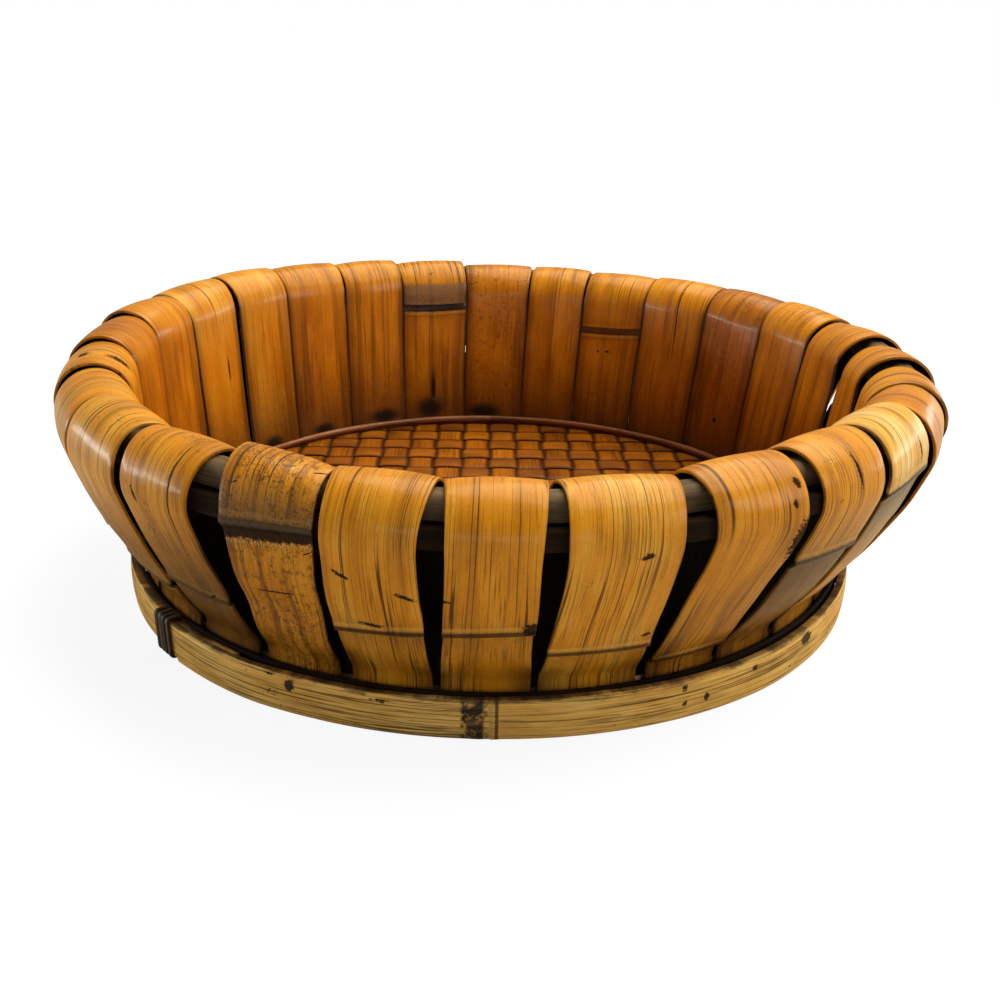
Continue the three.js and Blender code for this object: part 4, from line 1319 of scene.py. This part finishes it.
# The backs of the slats are near black: painted shade, so that the gaps between slats look dark.
back_shade_finish = plain_finish(
    "slat_back_painted_shade", (0.006, 0.004, 0.002), (0.015, 0.009, 0.005), (0.003, 0.002, 0.001), 0.5, 0.6, 0.08 * MM,
    shine=0.06,
)
woven_finish = plain_finish(
    "floor_bamboo", (0.14, 0.034, 0.002), (0.48, 0.155, 0.005), (0.030, 0.006, 0.001), 0.4, 0.24, 0.08 * MM,
    coat=0.05, edges=0.85, pale=True, shine=0.15,
)
cane_finish = plain_finish(
    "red_brown_cane", (0.15, 0.042, 0.010), (0.33, 0.11, 0.032), (0.05, 0.014, 0.004), 0.2, 0.24, 0.06 * MM,
    coat=0.3,
)
lashing_finish = plain_finish(
    "dark_split_cane", (0.045, 0.026, 0.014), (0.13, 0.085, 0.052), (0.016, 0.009, 0.005),
    0.5, 0.48, 0.10 * MM, edges=0.75,
)
# Near black for the rim bands and the binding hoop: a dark stain, and partly painted shade where they sit in
# shadow.
stain_and_shade_finish = plain_finish(
    "dark_bamboo_stain_and_shade", (0.007, 0.004, 0.0025), (0.022, 0.012, 0.007), (0.004, 0.002, 0.001),
    0.5, 0.55, 0.08 * MM, shine=0.05,
)
core_finish = plain_finish(
    "rim_core_bamboo", (0.075, 0.046, 0.022), (0.19, 0.125, 0.066), (0.030, 0.016, 0.007), 0.5, 0.5, 0.10 * MM
)
raw_finish = plain_finish(
    "bare_bamboo", (0.33, 0.20, 0.085), (0.52, 0.36, 0.18), (0.17, 0.09, 0.035), 0.4, 0.55, 0.10 * MM
)
plain = (back_shade_finish, woven_finish, cane_finish, lashing_finish, stain_and_shade_finish, core_finish, raw_finish)
print("finishes:", [finish.name for finish in plain])

# %% Give the finishes out
for number, slat in enumerate(slats):
    slat.data.materials[0] = slat_finish
    slat.data.materials[1] = back_shade_finish
    settle(slat, "bamboo_slat", f"slat_{number + 1:02d}")
others = (
    (top_hoop, core_finish, "rim_core", ("rim_top_hoop",)),
    (outer_band, stain_and_shade_finish, "stained_bamboo", ("rim_outer_band",)),
    (inner_band, stain_and_shade_finish, "stained_bamboo", ("rim_inner_band",)),
    (binding_hoop, stain_and_shade_finish, "stained_bamboo", ("foot_binding_hoop",)),
    (core_hoop, raw_finish, "raw_bamboo", ("foot_core_hoop",)),
    (lashing, lashing_finish, "cane_lashing", ("foot_lashing",)),
    (warps, woven_finish, "woven_bamboo", ("woven_floor",)),
    (wefts, woven_finish, "woven_bamboo", ()),
    (cane, cane_finish, "floor_cane", ("floor_cane_ring",)),
    (batten_left, raw_finish, "raw_bamboo", ("floor_batten_left",)),
    (batten_right, raw_finish, "raw_bamboo", ("floor_batten_right",)),
)
for piece, finish, slot, nodes in others:
    piece.data.materials.clear()
    piece.data.materials.append(finish)
    settle(piece, slot, *nodes)
print(len(slats) + len(others), "pieces finished here")

# %% [markdown]
# ## The support hoop
# The CAD support hoop is already notched for the battens, so it stays. It has no map of its own, and its
# finish reads Object coordinates: a noise that is slow in x and y and quick in height runs round the hoop
# as grain.

# %% Support hoop finish
hoop_finish, tree, shader = new_material("support_hoop_bamboo")
here = put(tree, "ShaderNodeTexCoord").outputs["Object"]
streak = noise(tree, here, (40, 40, 2600), 3.0)
cloud = noise(tree, here, (60, 60, 90), 3.0)
colour = tinted(tree, cloud, (0.30, 0.18, 0.075, 1), (0.55, 0.38, 0.19, 1))
colour = stain(tree, colour, spread(tree, streak, 0.42, 0.66), 0.6, (0.17, 0.09, 0.035))
dress(tree, shader, colour, scaled(tree, streak, 0.2, 0.5), streak, 0.1 * MM)
support_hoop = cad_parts["floor_support_hoop"]
support_hoop.data.materials.clear()
support_hoop.data.materials.append(hoop_finish)
print("support hoop finished")

# %% [markdown]
# ## Studio
# A white floor and a white world, a large soft lamp above and a little behind, and weak fills at the sides.
# Narrow pale strips at the left, right and front give the sheens on the rolls. The floor's own light is for
# the camera and for reflections only, so that it stays white around the tray's shadow and throws no extra
# light on the bamboo. Under the tray it has none, because no light gets there.

# %% Studio floor
NEAR_GLOW = 0.88
FAR_GLOW = 0.1
deselect_all()
bpy.ops.mesh.primitive_circle_add(vertices=96, radius=6, fill_type="NGON", location=(0, 0, -0.0002))
floor = bpy.context.object
floor.name = "studio_floor"
floor_finish, tree, shader = new_material("studio_white")
shader.inputs["Roughness"].default_value = 0.9
shader.inputs["Specular IOR Level"].default_value = 0
shader.inputs["Emission Color"].default_value = (1, 1, 1, 1)
rays = put(tree, "ShaderNodeLightPath").outputs
seen = maths(tree, "MAXIMUM", rays["Is Camera Ray"], rays["Is Transmission Ray"])
mirrored = maths(tree, "MAXIMUM", seen, rays["Is Glossy Ray"])
here = put(tree, "ShaderNodeTexCoord").outputs["Object"]
away = put(tree, "ShaderNodeVectorMath", (here,), operation="LENGTH").outputs["Value"]
far = spread(tree, away, 0.25, 0.9)
base = tinted(tree, seen, (0.60, 0.58, 0.53, 1), (0.16, 0.19, 0.27, 1))
tree.links.new(base, shader.inputs["Base Color"])
open_floor = spread(tree, away, 0.115, 0.142)
near_glow = times(tree, seen, times(tree, open_floor, NEAR_GLOW))
glow = scaled(tree, far, times(tree, mirrored, FAR_GLOW), near_glow)
tree.links.new(glow, shader.inputs["Emission Strength"])
floor.data.materials.append(floor_finish)
floor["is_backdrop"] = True
print("studio floor:", len(tree.nodes), "nodes")

# %% Studio world
world = bpy.data.worlds.new("studio_world")
bpy.context.scene.world = world
world.use_nodes = True
tree = world.node_tree
background = tree.nodes["Background"]
rays = put(tree, "ShaderNodeLightPath").outputs
seen = maths(tree, "MAXIMUM", rays["Is Camera Ray"], rays["Is Transmission Ray"])
sky = put(tree, "ShaderNodeTexCoord").outputs["Generated"]
behind = spread(tree, put(tree, "ShaderNodeSeparateXYZ", (sky,)).outputs[1], -0.35, 0.6)
shade = scaled(tree, behind, 0.24, 0.09)
tree.links.new(maths(tree, "MAXIMUM", seen, shade), background.inputs["Strength"])
tree.links.new(tinted(tree, seen, (1, 0.92, 0.78, 1), (1, 1, 1, 1)), background.inputs["Color"])
print("studio world:", len(tree.nodes), "nodes")


# %% Studio lamps
def softbox(name, place, aim, wide, tall, watts, colour):
    lamp = bpy.data.lights.new(name, "AREA")
    lamp.shape = "RECTANGLE"
    lamp.size = wide
    lamp.size_y = tall
    lamp.energy = watts
    lamp.color = colour
    holder = bpy.data.objects.new(name, lamp)
    bpy.context.collection.objects.link(holder)
    holder.location = place
    holder.rotation_euler = (Vector(place) - Vector(aim)).to_track_quat("Z", "Y").to_euler()
    holder.visible_camera = False


MIDDLE = (0, 0, 0.06)
WARM = (1, 0.87, 0.60)
CREAM = (1, 0.94, 0.84)
PALE = (1, 0.97, 0.93)
softbox("top_softbox", (0.35, 0.3, 1.1), MIDDLE, 1.5, 1.1, 27, WARM)
softbox("right_softbox", (1.0, -0.6, 0.55), MIDDLE, 0.5, 0.5, 4.0, CREAM)
softbox("left_softbox", (-1.1, -0.25, 0.55), MIDDLE, 0.5, 0.5, 0.4, CREAM)
softbox("left_strip", (-1.5, 0.1, 0.25), MIDDLE, 1.2, 0.18, 9.5, PALE)
softbox("right_strip", (1.35, 0.6, 0.26), MIDDLE, 1.2, 0.2, 6.0, PALE)
softbox("front_strip", (0, -2.2, 0.3), MIDDLE, 2.0, 0.3, 5.5, PALE)
print("studio ready")

# %% [markdown]
# ## The size at the end
# The two boxes are kept side by side, so that we can see that the dressed tray is as large as the CAD one.

# %% Sizes and finish
dressed_low, dressed_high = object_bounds()
print("dressed box in mm:", in_mm(high - low for low, high in zip(dressed_low, dressed_high)))
